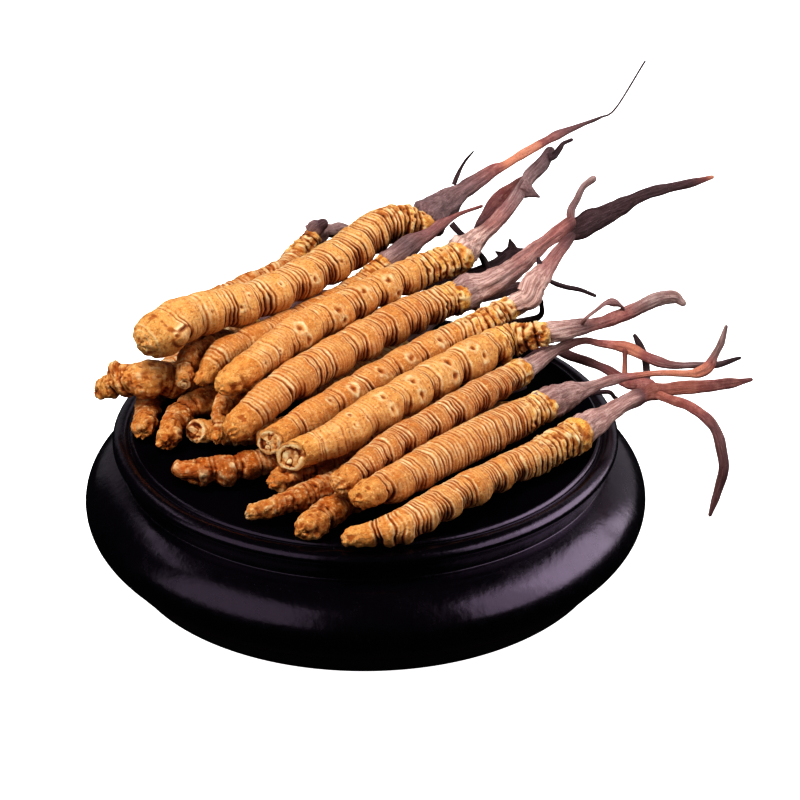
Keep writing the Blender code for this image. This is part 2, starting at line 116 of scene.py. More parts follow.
FORKS = {
    "stalk_01_prong": [(48.25, -2, 27.75, 0.7), (51, -4, 27.75, 0.9), (53.25, -5.75, 27, 0.8), (55, -7.25, 25.5, 0.8), (56, -9, 23.25, 0.85), (56.5, -10.25, 20, 0.8), (55.75, -11, 16.5, 0.7), (54.5, -12.75, 13, 0.35)],
    "stalk_04_loop": [(35.5, 10.75, 35.75, 0.3), (37.25, 13.5, 35.75, 0.35), (38.75, 15.75, 35.75, 0.45), (40, 16.5, 35.5, 0.65), (41.25, 16.75, 34.75, 0.3)],
    "stalk_05_needle": [(31, 19, 37.5, 0.4), (32.5, 19, 37, 0.4), (34.75, 19, 36.5, 0.35), (37, 18.5, 35.75, 0.3)],
    "stalk_06_blade": [(35.75, 35.75, 39.75, 1.9), (37.25, 36.75, 40.25, 1.95), (39.5, 37.75, 41, 1.75), (42.25, 38.75, 42, 1.3), (46, 40, 43.5, 0.95), (49.5, 40.75, 44.25, 0.85), (53.75, 41.75, 44.75, 0.7), (57.25, 42.5, 45.5, 0.35)],
    "stalk_06_twig": [(33.75, 36, 42.5, 0.65), (34.75, 37.25, 44, 0.6), (35.75, 38.25, 45.75, 0.55), (37.25, 38.5, 47, 0.6)],
    "stalk_07_blade": [(17.5, 33.75, 40, 0.3), (19.5, 36.5, 41.25, 0.8), (21.5, 39.25, 42.75, 1.05), (23.75, 42, 44, 0.65), (25.25, 44, 44.5, 0.35)],
    "stalk_13_leaf": [(45.25, 10, 26.5, 0.6), (45, 11.25, 28.25, 0.65), (44.25, 12.5, 29.75, 0.65), (43.5, 13.25, 31, 0.35)],
}

JOINT_GAP = 0.2


# ------------------------------------------------------------------- noise
def lattice(i, j, k, seed):
    """A fixed value from -1 to 1 for each whole-number point in space."""
    n = (i.astype(np.int64) * 374761393 + j.astype(np.int64) * 668265263
         + k.astype(np.int64) * 2147483647 + seed * 974634777) & 0xFFFFFFFF
    n = ((n ^ (n >> 13)) * 1274126177) & 0xFFFFFFFF
    n = ((n ^ (n >> 16)) * 2246822519) & 0xFFFFFFFF
    n = n ^ (n >> 15)
    return n.astype(np.float64) / 2147483647.5 - 1.0


def noise(p, seed=0):
    """Smooth value noise, p in cells, shape (..., 3)."""
    base = np.floor(p)
    f = p - base
    f = f * f * f * (f * (f * 6 - 15) + 10)
    i, j, k = (base[..., a].astype(np.int64) for a in range(3))
    out = 0.0
    for di in (0, 1):
        wi = f[..., 0] if di else 1 - f[..., 0]
        for dj in (0, 1):
            wj = f[..., 1] if dj else 1 - f[..., 1]
            for dk in (0, 1):
                wk = f[..., 2] if dk else 1 - f[..., 2]
                out = out + wi * wj * wk * lattice(i + di, j + dj, k + dk, seed)
    return out


def fractal(p, octaves=3, seed=0, gain=0.5):
    total, size, weight = 0.0, 1.0, 1.0
    for o in range(octaves):
        total = total + weight * noise(p * size, seed + 17 * o)
        size *= 2.03
        weight *= gain
    return total


def step(a, b, x):
    t = np.clip((x - a) / (b - a), 0, 1)
    return t * t * (3 - 2 * t)


# ------------------------------------------------------------------- curves
def spline(rows):
    """Dense Catmull-Rom curve through the rows, the same one as the solids use."""
    pts = np.array(rows, float)
    ends = np.vstack([2 * pts[0] - pts[1], pts, 2 * pts[-1] - pts[-2]])
    out = []
    for i in range(1, len(ends) - 2):
        a, b, c, d = ends[i - 1:i + 3]
        t = np.linspace(0, 1, 80, endpoint=False)[:, None]
        out.append(0.5 * (2 * b + (c - a) * t + (2 * a - 5 * b + 4 * c - d) * t ** 2
                          + (3 * b - 3 * c + d - a) * t ** 3))
    out.append(pts[-1:])
    q = np.vstack(out)
    q[:, 3] = q[:, 3].clip(pts[:, 3].min(), pts[:, 3].max())
    return q


def along(path):
    return np.r_[0, np.cumsum(np.linalg.norm(np.diff(path[:, :3], axis=0), axis=1))]


def resample(path, spacing):
    s = along(path)
    n = max(3, int(round(s[-1] / spacing)) + 1)
    t = np.linspace(0, s[-1], n)
    return np.stack([np.interp(t, s, path[:, a]) for a in range(path.shape[1])], 1), t


def unit(v):
    return v / np.maximum(np.linalg.norm(v, axis=-1, keepdims=True), 1e-12)


def frames(centre, start=(0, 0, 1), anchor=0.5):
    """Direction, side and up along a curve, turned as little as possible from the middle out."""
    way = unit(np.gradient(centre, axis=0))
    n = len(centre)
    up = np.zeros_like(centre)
    m = int(anchor * (n - 1))

    def square(v, w):
        v = v - (v @ w) * w
        size = np.linalg.norm(v)
        return v / size if size > 1e-6 else np.array((1.0, 0, 0))
    up[m] = square(np.array(start, float), way[m])
    for i in range(m + 1, n):
        up[i] = square(up[i - 1], way[i])
    for i in range(m - 1, -1, -1):
        up[i] = square(up[i + 1], way[i])
    return way, np.cross(up, way), up


# ------------------------------------------------------------------- meshes
def mesh_object(name, verts, quads, tris, layers, uv=None):
    """An object from arrays: verts in metres, layers {name: values per vertex}."""
    me = bpy.data.meshes.new(name)
    me.vertices.add(len(verts))
    me.vertices.foreach_set("co", verts.astype(np.float32).ravel())
    loops = np.concatenate([quads.ravel(), tris.ravel()]).astype(np.int32)
    me.loops.add(len(loops))
    me.loops.foreach_set("vertex_index", loops)
    me.polygons.add(len(quads) + len(tris))
    starts = np.concatenate([np.arange(len(quads)) * 4,
                             len(quads) * 4 + np.arange(len(tris)) * 3]).astype(np.int32)
    me.polygons.foreach_set("loop_start", starts)
    me.update(calc_edges=True)
    if uv is not None:
        me.uv_layers.new(name="OFBake").data.foreach_set("uv", np.vstack(uv).astype(np.float32).ravel())
    for key, values in layers.items():
        values = np.asarray(values, np.float32)
        if values.ndim == 1:
            me.attributes.new(key, "FLOAT", "POINT").data.foreach_set("value", values)
        else:
            me.attributes.new(key, "FLOAT_VECTOR", "POINT").data.foreach_set("vector", values.ravel())
    me.polygons.foreach_set("use_smooth", np.ones(len(me.polygons), bool))
    ob = bpy.data.objects.new(name, me)
    bpy.context.scene.collection.objects.link(ob)
    return ob


def tube_faces(rings, sides, first=0):
    """Quads between rings of a closed tube and the fans that close both ends."""
    i = np.arange(rings - 1)[:, None] * sides
    j = np.arange(sides)[None, :]
    k = (j + 1) % sides
    quads = np.stack([i + j, i + k, i + sides + k, i + sides + j], -1).reshape(-1, 4) + first
    tail, head = rings * sides + first, rings * sides + 1 + first
    j, k = j[0], k[0]
    tris = np.concatenate([
        np.stack([np.full(sides, tail), first + k, first + j], 1),
        np.stack([np.full(sides, head), first + (rings - 1) * sides + j,
                  first + (rings - 1) * sides + k], 1)])
    return quads, tris


def along_rings(P):
    """Mean distance of each ring from the first one, along a tube."""
    return np.r_[0, np.cumsum(np.linalg.norm(np.diff(P, axis=0), axis=2).mean(1))]


def tube_uv(rings, sides, run, box=(.004, .004, .996, .996)):
    """Unrolled map of a closed tube, one pair per face corner, inside a box."""
    j = np.arange(sides)[None, :] / sides + np.zeros((rings - 1, 1))
    k = j + 1 / sides
    v = (run + .02 * run[-1]) / (1.04 * run[-1])
    lo, hi = v[:-1, None] + 0 * j, v[1:, None] + 0 * j
    quads = np.stack([j, lo, k, lo, k, hi, j, hi], -1).reshape(-1, 2)
    j, k = j[0], k[0]
    mid = (j + k) / 2
    tail = np.stack([mid, 0 * j, k, 0 * j + v[0], j, 0 * j + v[0]], -1).reshape(-1, 2)
    head = np.stack([mid, 0 * j + 1, j, 0 * j + v[-1], k, 0 * j + v[-1]], -1).reshape(-1, 2)
    size = np.array([box[2] - box[0], box[3] - box[1]])
    return [a * size + box[:2] for a in (quads, np.vstack([tail, head]))]


# -------------------------------------------------------------------- larvae
# How each larva looks.  groups: runs of tight folds as (from, to, folds,
# depth), distances along the body from the tail; smooth bands lie between
# them.  tone: 0 pale straw to 1 dark orange brown; the tones are partly the
# larvae's own colour and partly painted light: the larvae buried under the
# heap are darker as painted shade, and larva 19 is paler to make up for the
# shadow of the top larva.  belly: side on which the folds cut deep and the
# painted crease shade is strongest, in degrees round the body, 90 being on
# top.  tail: shape of the tail end.  gold: length of the golden head.
LOOKS = {
    1: dict(tone=.32, belly=225, tail="round", gold=9, rough=1.0, fine=.7, swell=1.3,
            groups=[(3.6, 4.4, 2, .50), (6.4, 7.2, 2, .30), (8.9, 11.6, 5, .32), (13.2, 15.9, 5, .33), (18.5, 21.7, 5, .35), (25.9, 29, 6, .33), (31, 34.2, 6, .34), (35, 45, 10, .32)]),
    2: dict(tone=.42, belly=225, tail="lumpy", gold=6, rough=1.0, fine=.9,
            groups=[(3.2, 4.0, 2, .45), (8.2, 10.4, 4, .26), (12.4, 16.8, 7, .21), (18.4, 22.6, 7, .21), (24, 28.4, 7, .23), (29.6, 34.2, 8, .30), (35, 40, 6, .30)]),
    3: dict(tone=.66, belly=225, tail="round", gold=3, rough=.9, fine=.6, swell=1.3,
            groups=[(2.6, 5, 3, .26), (7.4, 9.2, 3, .28), (11.6, 14.6, 5, .34), (17.2, 20.6, 5, .35), (23.6, 26.6, 5, .35), (29, 32.4, 6, .33), (34.6, 37.6, 5, .33), (38.6, 42.4, 6, .32)]),
    4: dict(tone=.20, belly=220, tail="sunken", gold=11, rough=1.0, fine=.65, swell=1.5,
            groups=[(3, 8.5, 7, .09), (12.4, 13.6, 2, .15), (20, 21.4, 2, .28), (26.8, 28.2, 3, .30), (34.4, 35.8, 3, .34), (43, 44.4, 3, .38), (46.6, 47.8, 2, .38), (48.8, 52.2, 4, .42)]),
    5: dict(tone=.42, belly=220, tail="face", gold=12, rough=1.0, fine=.60, swell=1.5,
            groups=[(4.2, 5.4, 2, .26), (13, 14.2, 2, .28), (19.2, 20.2, 2, .32), (26, 27.2, 2, .36), (31.6, 32.8, 2, .36), (37.4, 38.8, 3, .36), (40.8, 41.8, 2, .32), (43.5, 50.5, 7, .34)]),
    6: dict(tone=.40, belly=225, tail="lumpy", gold=5, rough=.9, fine=.70, swell=1.2,
            groups=[(2.5, 8.5, 4, .18), (9.4, 12.4, 4, .34), (15.4, 20.4, 5, .37), (24.6, 28, 4, .40), (31.4, 34.6, 4, .40), (37.2, 40, 4, .39), (41.6, 45, 5, .39), (46, 48.6, 4, .34)]),
    7: dict(tone=.24, belly=222, tail="lumpy", gold=10, rough=1.2, fine=.75, swell=1.3,
            groups=[(4.6, 8.6, 5, .12), (11.6, 13.8, 3, .13), (19.6, 21.8, 3, .20), (27, 29.2, 4, .33), (32.6, 34.6, 3, .37), (38.2, 40.2, 3, .40), (43, 51, 7, .40)]),
    8: dict(tone=.44, belly=225, tail="lumpy", gold=4, rough=1.0, fine=.7, swell=1.3,
            groups=[(2.6, 4, 2, .22), (8.8, 10, 2, .18), (14.5, 16.5, 3, .20), (20, 22, 3, .22), (25.5, 27.5, 3, .26), (30.5, 32.5, 3, .28), (35, 40, 6, .30)]),
    9: dict(tone=.16, belly=212, tail="round", gold=7, rough=1.0, knobs=.3, fine=.80, swell=1.35,
            groups=[(2.4, 3, 2, .16), (6.6, 7.6, 2, .12), (10.8, 13.2, 4, .22), (17, 20.2, 5, .26), (24, 27.6, 6, .29), (30.8, 34.4, 6, .32), (37.2, 41, 6, .34), (43, 46, 5, .38), (47.2, 50.4, 5, .44), (52, 52.8, 2, .50), (54.2, 55, 2, .50)]),
    10: dict(tone=.62, belly=225, tail="round", gold=7, rough=1.2,
             groups=[(4, 7, 4, .22), (10.5, 13, 4, .26), (16, 19, 4, .26), (22, 29, 7, .32)]),
    11: dict(tone=.66, belly=225, tail="lumpy", gold=3, rough=1.2,
             groups=[(2.4, 3.6, 2, .45), (7, 9.4, 4, .28), (12, 45, 30, .24)]),
    12: dict(tone=.80, belly=225, tail="round", gold=3, rough=1.3,
             groups=[(3.8, 7, 4, .24), (9, 43, 34, .22)]),
    13: dict(tone=.80, belly=225, tail="lumpy", gold=3, rough=2.2,
             groups=[(3, 5, 3, .40), (8, 37, 24, .26)]),
    14: dict(tone=.92, belly=225, tail="lumpy", gold=3, rough=2.4,
             groups=[(1.4, 4.6, 4, .30), (6.6, 7.6, 2, .40), (10.4, 11.4, 2, .36), (14, 41, 22, .24)]),
    15: dict(tone=.55, belly=225, tail="face", gold=3, rough=1.8,
             groups=[(1.8, 3.2, 2, .36), (6, 33, 24, .28)]),
    16: dict(tone=.58, belly=225, tail="lumpy", gold=3, rough=1.9,
             groups=[(2.2, 3.4, 2, .30), (5.4, 6.8, 2, .30), (9, 45, 30, .22)]),
    17: dict(tone=.66, belly=225, tail="lumpy", gold=3, rough=1.6,
             groups=[(3.2, 4.6, 2, .42), (7.4, 9, 2, .30), (12, 35, 18, .24)]),
    18: dict(tone=.76, belly=225, tail="lumpy", gold=3, rough=1.6,
             groups=[(2.4, 3.6, 2, .36), (7, 37, 22, .26)]),
    19: dict(tone=.26, belly=225, tail="lumpy", gold=3, rough=1.6,
             groups=[(2.2, 3.4, 2, .40), (5.2, 6.4, 2, .34), (10, 11.4, 2, .26), (15, 32, 14, .26)]),
    20: dict(tone=.60, belly=225, tail="face", gold=3, rough=1.3,
             groups=[(2.4, 3.4, 2, .40), (6.8, 8, 2, .30), (11, 36, 20, .24)]),
}

# Small round marks of legs and breathing holes: along, round (degrees),
# radius and depth in mm.
MARKS = {
    4: [(52.3, 165, 1.5, .8), (16.9, 110, .55, .32), (17, 156, .50, .28), (23.6, 112, .62, .34), (23.6, 162, .55, .30), (32, 116, .66, .36),
        (31.7, 160, .62, .34), (38.5, 112, .60, .34), (39.5, 150, .50, .30), (12, 140, .30, .20), (10.2, 98, .30, .18), (9.6, 134, .28, .16)],
    5: [(50.1, 140, 1.0, .6), (16.6, 126, .58, .32), (23.1, 122, .55, .32), (29.5, 132, .58, .32), (36.2, 124, .55, .32), (11.8, 118, .40, .24)],
    7: [(15, 126, .66, .40), (15.5, 174, .60, .36), (23.5, 138, .55, .32), (24, 177, .45, .28), (30.6, 120, .55, .32),
        (36, 126, .60, .36), (37, 183, .55, .32), (9, 150, .30, .18), (5.5, 160, .30, .18)],
    9: [(14, 158, .40, .24), (28.8, 160, .50, .28), (22, 132, .30, .18), (8.6, 150, .28, .16), (35.6, 150, .40, .22), (6.5, 120, .24, .14), (15.8, 130, .26, .14)],
}

# Low knobs with a cracked edge, a painted highlight on the top and on the rim above the crack and painted shade under
# the lower edge: along, round, radius, height.
BUMPS = {9: [(1.9, 170, 1.9, .95)]}

# Plain knobs standing out of the body: along, round, radius, height.
KNOBS = {19: [(3.3, 84, 1.2, 1.7), (5.0, 92, .9, .7), (-1.0, 215, 1.0, .5)],
         9: [(53.5, 96, 1.5, .55), (49.5, 100, 1.2, .35)],
         10: [(9.5, 100, 1.1, .35), (14.2, 95, 1.2, .5), (21, 110, 1.1, .45)],
         14: [(2.0, 130, 1.1, .5), (5.4, 165, 1.2, .4)],
         13: [(1.0, 150, 1.0, .5), (3.5, 120, 1.2, .5), (5.5, 170, 1.1, .4)],
         20: [(1.2, 150, .7, .3)], 17: [(.6, 150, 1.0, .4)], 18: [(.4, 130, .9, .4), (1.6, 175, .8, .35)]}

# Ends of a larva as (outward, across) pairs in parts of its half thickness,
# from the full section to the middle of the face.
ENDS = {
    "round": [(0, 1), (.20, .985), (.42, .92), (.62, .80), (.79, .62), (.91, .41), (.98, .2), (1.0, 0)],
    "lumpy": [(0, 1), (.22, .97), (.40, .86), (.52, .78), (.70, .76), (.86, .64), (.98, .42), (1.04, .2), (1.05, 0)],
    "face": [(0, 1), (.28, .985), (.50, .93), (.64, .82), (.70, .68), (.66, .50), (.72, .34), (.78, .18), (.79, 0)],
    "sunken": [(0, 1), (.30, .99), (.55, .95), (.70, .86), (.76, .74), (.70, .62), (.50, .50), (.44, .34), (.50, .16), (.50, 0)],
    "crown": [(0, 1), (.34, .99), (.60, .95), (.78, .86), (.84, .74), (.78, .62), (.60, .50), (.52, .30), (.50, 0)],
}


# How far the face of a tail is turned to the front: slope of the cut.
TURNED = {4: .84, 5: .47, 15: 1.1, 20: .30}

# Larvae of which little shows: coarser, without the fine wrinkles.
HIDDEN = {11, 12, 13, 14, 15, 16, 17, 18, 20}


def end_curve(shape, radius, spacing):
    pts = np.array(ENDS[shape]) * radius
    t = np.r_[0, np.cumsum(np.linalg.norm(np.diff(pts, axis=0), axis=1))]
    n = max(6, int(round(t[-1] / spacing)))
    u = np.linspace(0, t[-1], n + 1)[1:]
    fine = np.stack([np.interp(u, t, pts[:, a]) for a in (0, 1)], 1)
    for _ in range(3):   # rounds the corners of the polyline
        fine[1:-1] = (fine[:-2] + 2 * fine[1:-1] + fine[2:]) / 4
    return fine, u


def folds(number, look, rng):
    """Places and depths of the main folds, then of all with the fine wrinkles."""
    place, depth = [], []
    for a, b, n, d in look["groups"]:
        w = (b - a) / max(1, n - 1)
        at = np.linspace(a, b, n) + rng.uniform(-.25, .25, n) * w
        place += list(at)
        depth += list((.80 if number in HIDDEN or number == 19 else 1.35) * d * rng.uniform(.50, 1.20, n))
    order = np.argsort(place)
    place, depth = np.array(place)[order], np.array(depth)[order]
    keep = np.r_[True, np.diff(place) > .28]
    place, depth = place[keep], depth[keep]
    every, deep = [], []
    for k in range(len(place)):
        every.append(place[k])
        deep.append(depth[k])
        if k + 1 < len(place) and number not in HIDDEN:
            x = place[k] + rng.uniform(.42, .85)
            while x < place[k + 1] - .42:
                every.append(x)
                deep.append(rng.uniform(.03, .125) * look.get("fine", 1.0))
                x += rng.uniform(.42, .95)
    return place, depth, np.array(every), np.array(deep)


def ring_places(place, length, fine):
    """Where the rings of a larva lie: close by each fold, wider where it is buried."""
    buried = fine > 1
    marks = np.r_[0, place, length]
    out = []
    for lo, hi in zip(marks[:-1], marks[1:]):
        w = hi - lo
        if buried:
            fine = 1.25 if hi < 15 else 3.4
        if w < 1.5:
            n = max(4 if fine < 1.5 else 3, int(round(w / (.165 * fine))))
            t = np.arange(n) / n
            out += list(lo + w * (t - .085 * np.sin(2 * math.pi * t)))
        else:
            near = np.array([0, .06, .14, .25, .40])
            m = max(2, int(round((w - 1.1) / (.26 * fine))) + 1)
            out += list(lo + near) + list(np.linspace(lo + .58, hi - .58, m)) + list(hi - near[:0:-1])
    return np.array(out + [length])


def turns(sides):
    """Angles round a larva, closer together on top and in front than underneath."""
    t = np.arange(sides) / sides
    return 2 * math.pi * (t + .075 * np.sin(2 * math.pi * (t - .14)) - .075 * math.sin(2 * math.pi * -.14))


FRONT = (0, -.878, .478)   # the side from which the heap is arranged to be seen


def build_larva(number):
    look = LOOKS[number]
    rng = np.random.default_rng(100 + number)
    fine = 1.3 if number in HIDDEN else 1.0
    sides = 50 if number in HIDDEN else 60 if number in (8, 10, 19) else 70
    path = spline(LARVAE[number])
    sp = along(path)
    length = sp[-1]
    way, side, up = frames(resample(path, .1)[0][:, :3])
    st = np.linspace(0, length, len(way))
    main, deep, place, depth = folds(number, look, rng)
    x0 = ring_places(place, length, fine)
    radius0 = np.interp(x0, sp, path[:, 3])
    tail, tail_t = end_curve(look["tail"], radius0[0], .17 * fine)
    head, head_t = end_curve("crown", radius0[-1], .17 * fine)
    nt, nh = len(tail) - 1, len(head) - 1
    cap_t = np.arange(nt + len(x0) + nh) < nt
    cap_h = np.arange(nt + len(x0) + nh) >= nt + len(x0)
    ax = np.r_[-tail[:-1][::-1, 0], np.zeros(len(x0)), head[:-1, 0]]
    ra = np.r_[tail[:-1][::-1, 1], radius0, head[:-1, 1]]
    at = np.r_[-tail_t[:-1][::-1], x0, length + head_t[:-1]]
    flat_at = np.clip(at, 0, length)
    da, dr = np.gradient(ax + flat_at), np.gradient(ra)
    size = np.maximum(np.hypot(da, dr), 1e-9)
    n_rad, n_ax = (da / size)[:, None], (-dr / size)[:, None]
    theta = turns(sides)
    cos, sin = np.cos(theta)[None], np.sin(theta)[None]
    rnd = np.stack([0 * at[:, None] + 0 * cos, cos + 0 * at[:, None], sin + 0 * at[:, None]], -1)
    X = at[:, None] + 0 * cos
    seedling = 40.0 * number
    rough0 = np.stack([X, ra[:, None] * cos, ra[:, None] * sin], -1) + seedling

    # the folds, and with them the rings of the mesh, wander to and fro
    lean = look.get("lean", 0.0)
    wander = (.34 * noise(rough0 * [.14, .30, .30], 3) + .19 * noise(rough0 * [.60, .75, .75], 4)
              + .05 * noise(rough0 * [1.2, 2.2, 2.2], 6)
              + lean * np.cos(theta - math.radians(140))[None])
    wander *= step(.3, 3.0, X) * step(length - .3, length - 3.0, X)
    slope = TURNED.get(number, 0.0)
    front = math.atan2(up[0] @ np.array(FRONT), side[0] @ np.array(FRONT))
    turned = slope * ra[:, None] * np.cos(theta - front)[None] * step(6.0, .5, X)
    A = X + (wander + turned) * ~(cap_t | cap_h)[:, None]
    inner = np.clip(A, 0, length)
    centre = np.stack([np.interp(inner, sp, path[:, a]) for a in range(3)], -1)
    W = unit(np.stack([np.interp(inner, st, way[:, a]) for a in range(3)], -1))
    S = unit(np.stack([np.interp(inner, st, side[:, a]) for a in range(3)], -1))
    U = unit(np.stack([np.interp(inner, st, up[:, a]) for a in range(3)], -1))
    body = np.interp(inner, sp, path[:, 3])
    R0 = np.where((cap_t | cap_h)[:, None], ra[:, None], body)
    skin = np.stack([np.where(cap_t[:, None], ax[:, None], A), R0 * cos, R0 * sin], -1) + seedling

    rough = look["rough"]
    k = np.clip(np.searchsorted(place, at, side="right") - 1, -1, len(place) - 1)
    last = len(place) - 1
    lo = np.where(k >= 0, place[np.maximum(k, 0)], min(0, place[0] - 1.2))
    hi = np.where(k < last, place[np.minimum(k + 1, last)], max(length, place[-1] + 1.2))
    dlo = np.where(k >= 0, depth[np.maximum(k, 0)], 0)[:, None]
    dhi = np.where(k < last, depth[np.minimum(k + 1, last)], 0)[:, None]

    def fade(index):
        """A fold is deep on one side of the body and fades on another."""
        turn = np.stack([index[:, None] * 7.3 + 0 * cos, cos * 1.5 + 0 * X, sin * 1.5 + 0 * X], -1)
        small = np.isin(np.round(place, 6), np.round(main, 6))[np.clip(index, 0, len(place) - 1).astype(int)]
        wave = noise(turn + number, 5)
        return np.where(small[:, None], np.clip(.80 + .55 * wave, .10, 1.2), np.clip(.55 + 1.1 * wave, 0, 1.3))
    dlo, dhi = dlo * fade(k * 1.0), dhi * fade(k + 1.0)
    width = (hi - lo)[:, None]
    t = np.clip((at - lo) / (hi - lo), 0, 1)[:, None]
    edge = np.minimum(t, 1 - t) * width                 # distance to the nearer fold
    cut = dlo + (dhi - dlo) * step(.35, .65, t)
    half = np.clip(width * .5, .14, .46)
    rise = np.sin(.5 * math.pi * np.clip(edge / half, 0, 1)) ** .80
    off = -cut * (1 - rise)
    broken = np.clip(.78 + .55 * noise(skin * [1.0, 1.5, 1.5], 67) + .25 * noise(skin * 2.6, 68), .15, 1.25)
    # deep notches between lobes on the belly side, folds lighter on top; painted shade in the creases, stronger towards
    # the belly where shade falls
    facing = np.cos(theta - math.radians(look["belly"]))[None]
    low = step(.30, .92, facing) + 0 * A
    back = step(.2, .9, -facing) + 0 * A
    belly_shade = .58 + .52 * step(-.35, .85, facing) + 0 * A
    # painted shade: creases darkened, darkest at the bottom of each fold
    shade_and_marks = belly_shade * np.clip(cut / .30, 0, 1.2) * (.42 * np.exp(-(edge / .25) ** 2)
                                                       + .72 * broken * np.exp(-(edge / .10) ** 2))
    # painted highlight: ridge tops beside each fold are painted pale
    strong = np.clip(cut / .26, 0, 1) ** .55
    highlight_and_pale = strong * np.exp(-((edge - np.minimum(half, .30)) / .12) ** 2) * (.55 + .45 * broken)
    # smooth bands swell between the main folds
    km = np.clip(np.searchsorted(main, at, side="right") - 1, 0, len(main) - 2)
    band = (main[km + 1] - main[km])[:, None]
    tm = np.clip((at - main[km]) / (main[km + 1] - main[km]), 0, 1)[:, None]
    swell = np.clip((band - 1.2) / 2.2, 0, 1) * np.clip(band, 0, 5) * .036
    swell = swell * look.get("swell", 1.0) * (1 + .5 * low)
    off += swell * np.sin(math.pi * tm) ** .7 * ~(cap_t | cap_h)[:, None]
    off -= .05 * step(1.7, .8, band) * np.clip(cut / .3, 0, 1)
    for a, b, n, d in look["groups"]:
        if b - a < 4:
            mid, wide = (a + b) / 2, .50 + .24 * (b - a)
            notch = np.exp(-((at - mid) / wide) ** 2)[:, None]
            off -= d * 1.2 * low * notch
            off -= d * .22 * notch * (1 - back)
            # painted shade in the belly notches
            shade_and_marks += .35 * low * notch * np.clip(d / .3, 0, 1)
    # lobes, dents and grain
    lump = fractal(skin * .36, 2, 11)
    off += .17 * rough * lump * (.6 + .4 * low)
    grain = fractal(skin * [1.3, .9, .9], 2, 23, .6)
    off += .060 * min(rough, 1.5) * grain
    off += .030 * noise(skin * [2.4, .35, .35], 27) + .034 * min(rough, 1.3) * noise(skin * 2.3, 29)
    ends_mask = step(3.6, -.6, A)
    knob = fractal(skin * .95, 2, 31)
    off += ends_mask * .24 * knob * look.get("knobs", min(1.5, rough))
    if number in HIDDEN or number == 19:                 # shrunken, knobbly tails
        node = noise(skin * .95, 33)
        fine_node = noise(skin * 1.9, 35)
        shrunk = step(17, 10, A) * (1 - .3 * ends_mask)
        # painted highlight on the raised nodes and painted shade in the dents
        highlight_and_pale = highlight_and_pale * (1 - .65 * shrunk)
        off += shrunk * (.17 * node + .15 * fine_node)
        shade_and_marks = shade_and_marks * (1 - .25 * shrunk) + shrunk * (.35 * step(.25, .7, -node) + .60 * step(.30, .62, -fine_node))
        highlight_and_pale = np.clip(highlight_and_pale + shrunk * .50 * step(.30, .7, fine_node), 0, 1)
    # painted shade in the dents between the knobs of both ends
    shade_and_marks = shade_and_marks + ends_mask * .55 * step(.35, .8, -knob)
    head_mask = step(length - look["gold"], length - look["gold"] * .5, A)
    # heads: short knobs broken by pits between the folds, with a painted highlight on the knobs and painted shade in
    # the pits
    cell = noise(skin * [1.25, 1.2, 1.2], 41)
    off += head_mask * (.17 * cell + .07 * noise(skin * 2.3, 43))
    highlight_and_pale = np.clip(highlight_and_pale + head_mask * .8 * step(.2, .7, cell), 0, 1)
    shade_and_marks = shade_and_marks + head_mask * .45 * step(.25, .7, -cell)

    def spots():
        """Legs and breathing holes as listed, pits of the head at random."""
        out = [(ms, mt, mr * 1.25, md * .95, .80) for ms, mt, mr, md in MARKS.get(number, [])]
        if look["gold"] >= 5:
            count = int(look["gold"] * 3.4)
            for _ in range(count):
                out.append((length - look["gold"] * .85 * rng.uniform(-.02, 1) ** 1.0,
                            math.degrees(rng.uniform(0, 2 * math.pi)), rng.uniform(.26, .48), rng.uniform(.22, .42), .9))
        return out
    for ms, mt, mr, md, tint in spots():
        r = float(np.interp(np.clip(ms, 0, length), sp, path[:, 3]))
        if ms < 0:
            r *= math.cos(min(1.4, -ms / r))
        spot = np.array([ms, r * math.cos(math.radians(mt)), r * math.sin(math.radians(mt))]) + seedling
        d = np.linalg.norm((skin - spot) * [1.15, .95, .95], axis=-1) / mr
        d = d * (1 + .42 * noise(skin * 1.7, 45)) + .22 * noise(skin * 3.1, 46)
        off += md * (.38 * np.exp(-((d - 1.25) / .45) ** 2) - 1.0 * np.exp(-(d / .66) ** 2))
        # dark centres: partly the marks' own colour, partly painted shade in the pits; a painted highlight on the
        # raised rims
        shade_and_marks = np.maximum(shade_and_marks, tint * np.exp(-np.abs(d / .55) ** 3))
        highlight_and_pale = np.maximum(highlight_and_pale, .85 * np.exp(-((d - 1.2) / .35) ** 2))
    for ms, mt, mr, high in BUMPS.get(number, []):
        r = float(np.interp(np.clip(ms, 0, length), sp, path[:, 3]))
        if ms < 0:
            r *= math.cos(min(1.4, -ms / r))
        ct, sn = math.cos(math.radians(mt)), math.sin(math.radians(mt))
        spot = np.array([ms, r * ct, r * sn]) + seedling
        v = skin - spot
        d = np.linalg.norm(v, axis=-1) / mr
        off += high * np.exp(-d ** 4)
        above = -(v @ np.array([0, -sn, ct])) / mr
        arc_d = np.exp(-((above - .42 + .30 * (v[..., 0] / mr) ** 2) / .10) ** 2) * step(1.0, .80, d)
        off -= .26 * arc_d
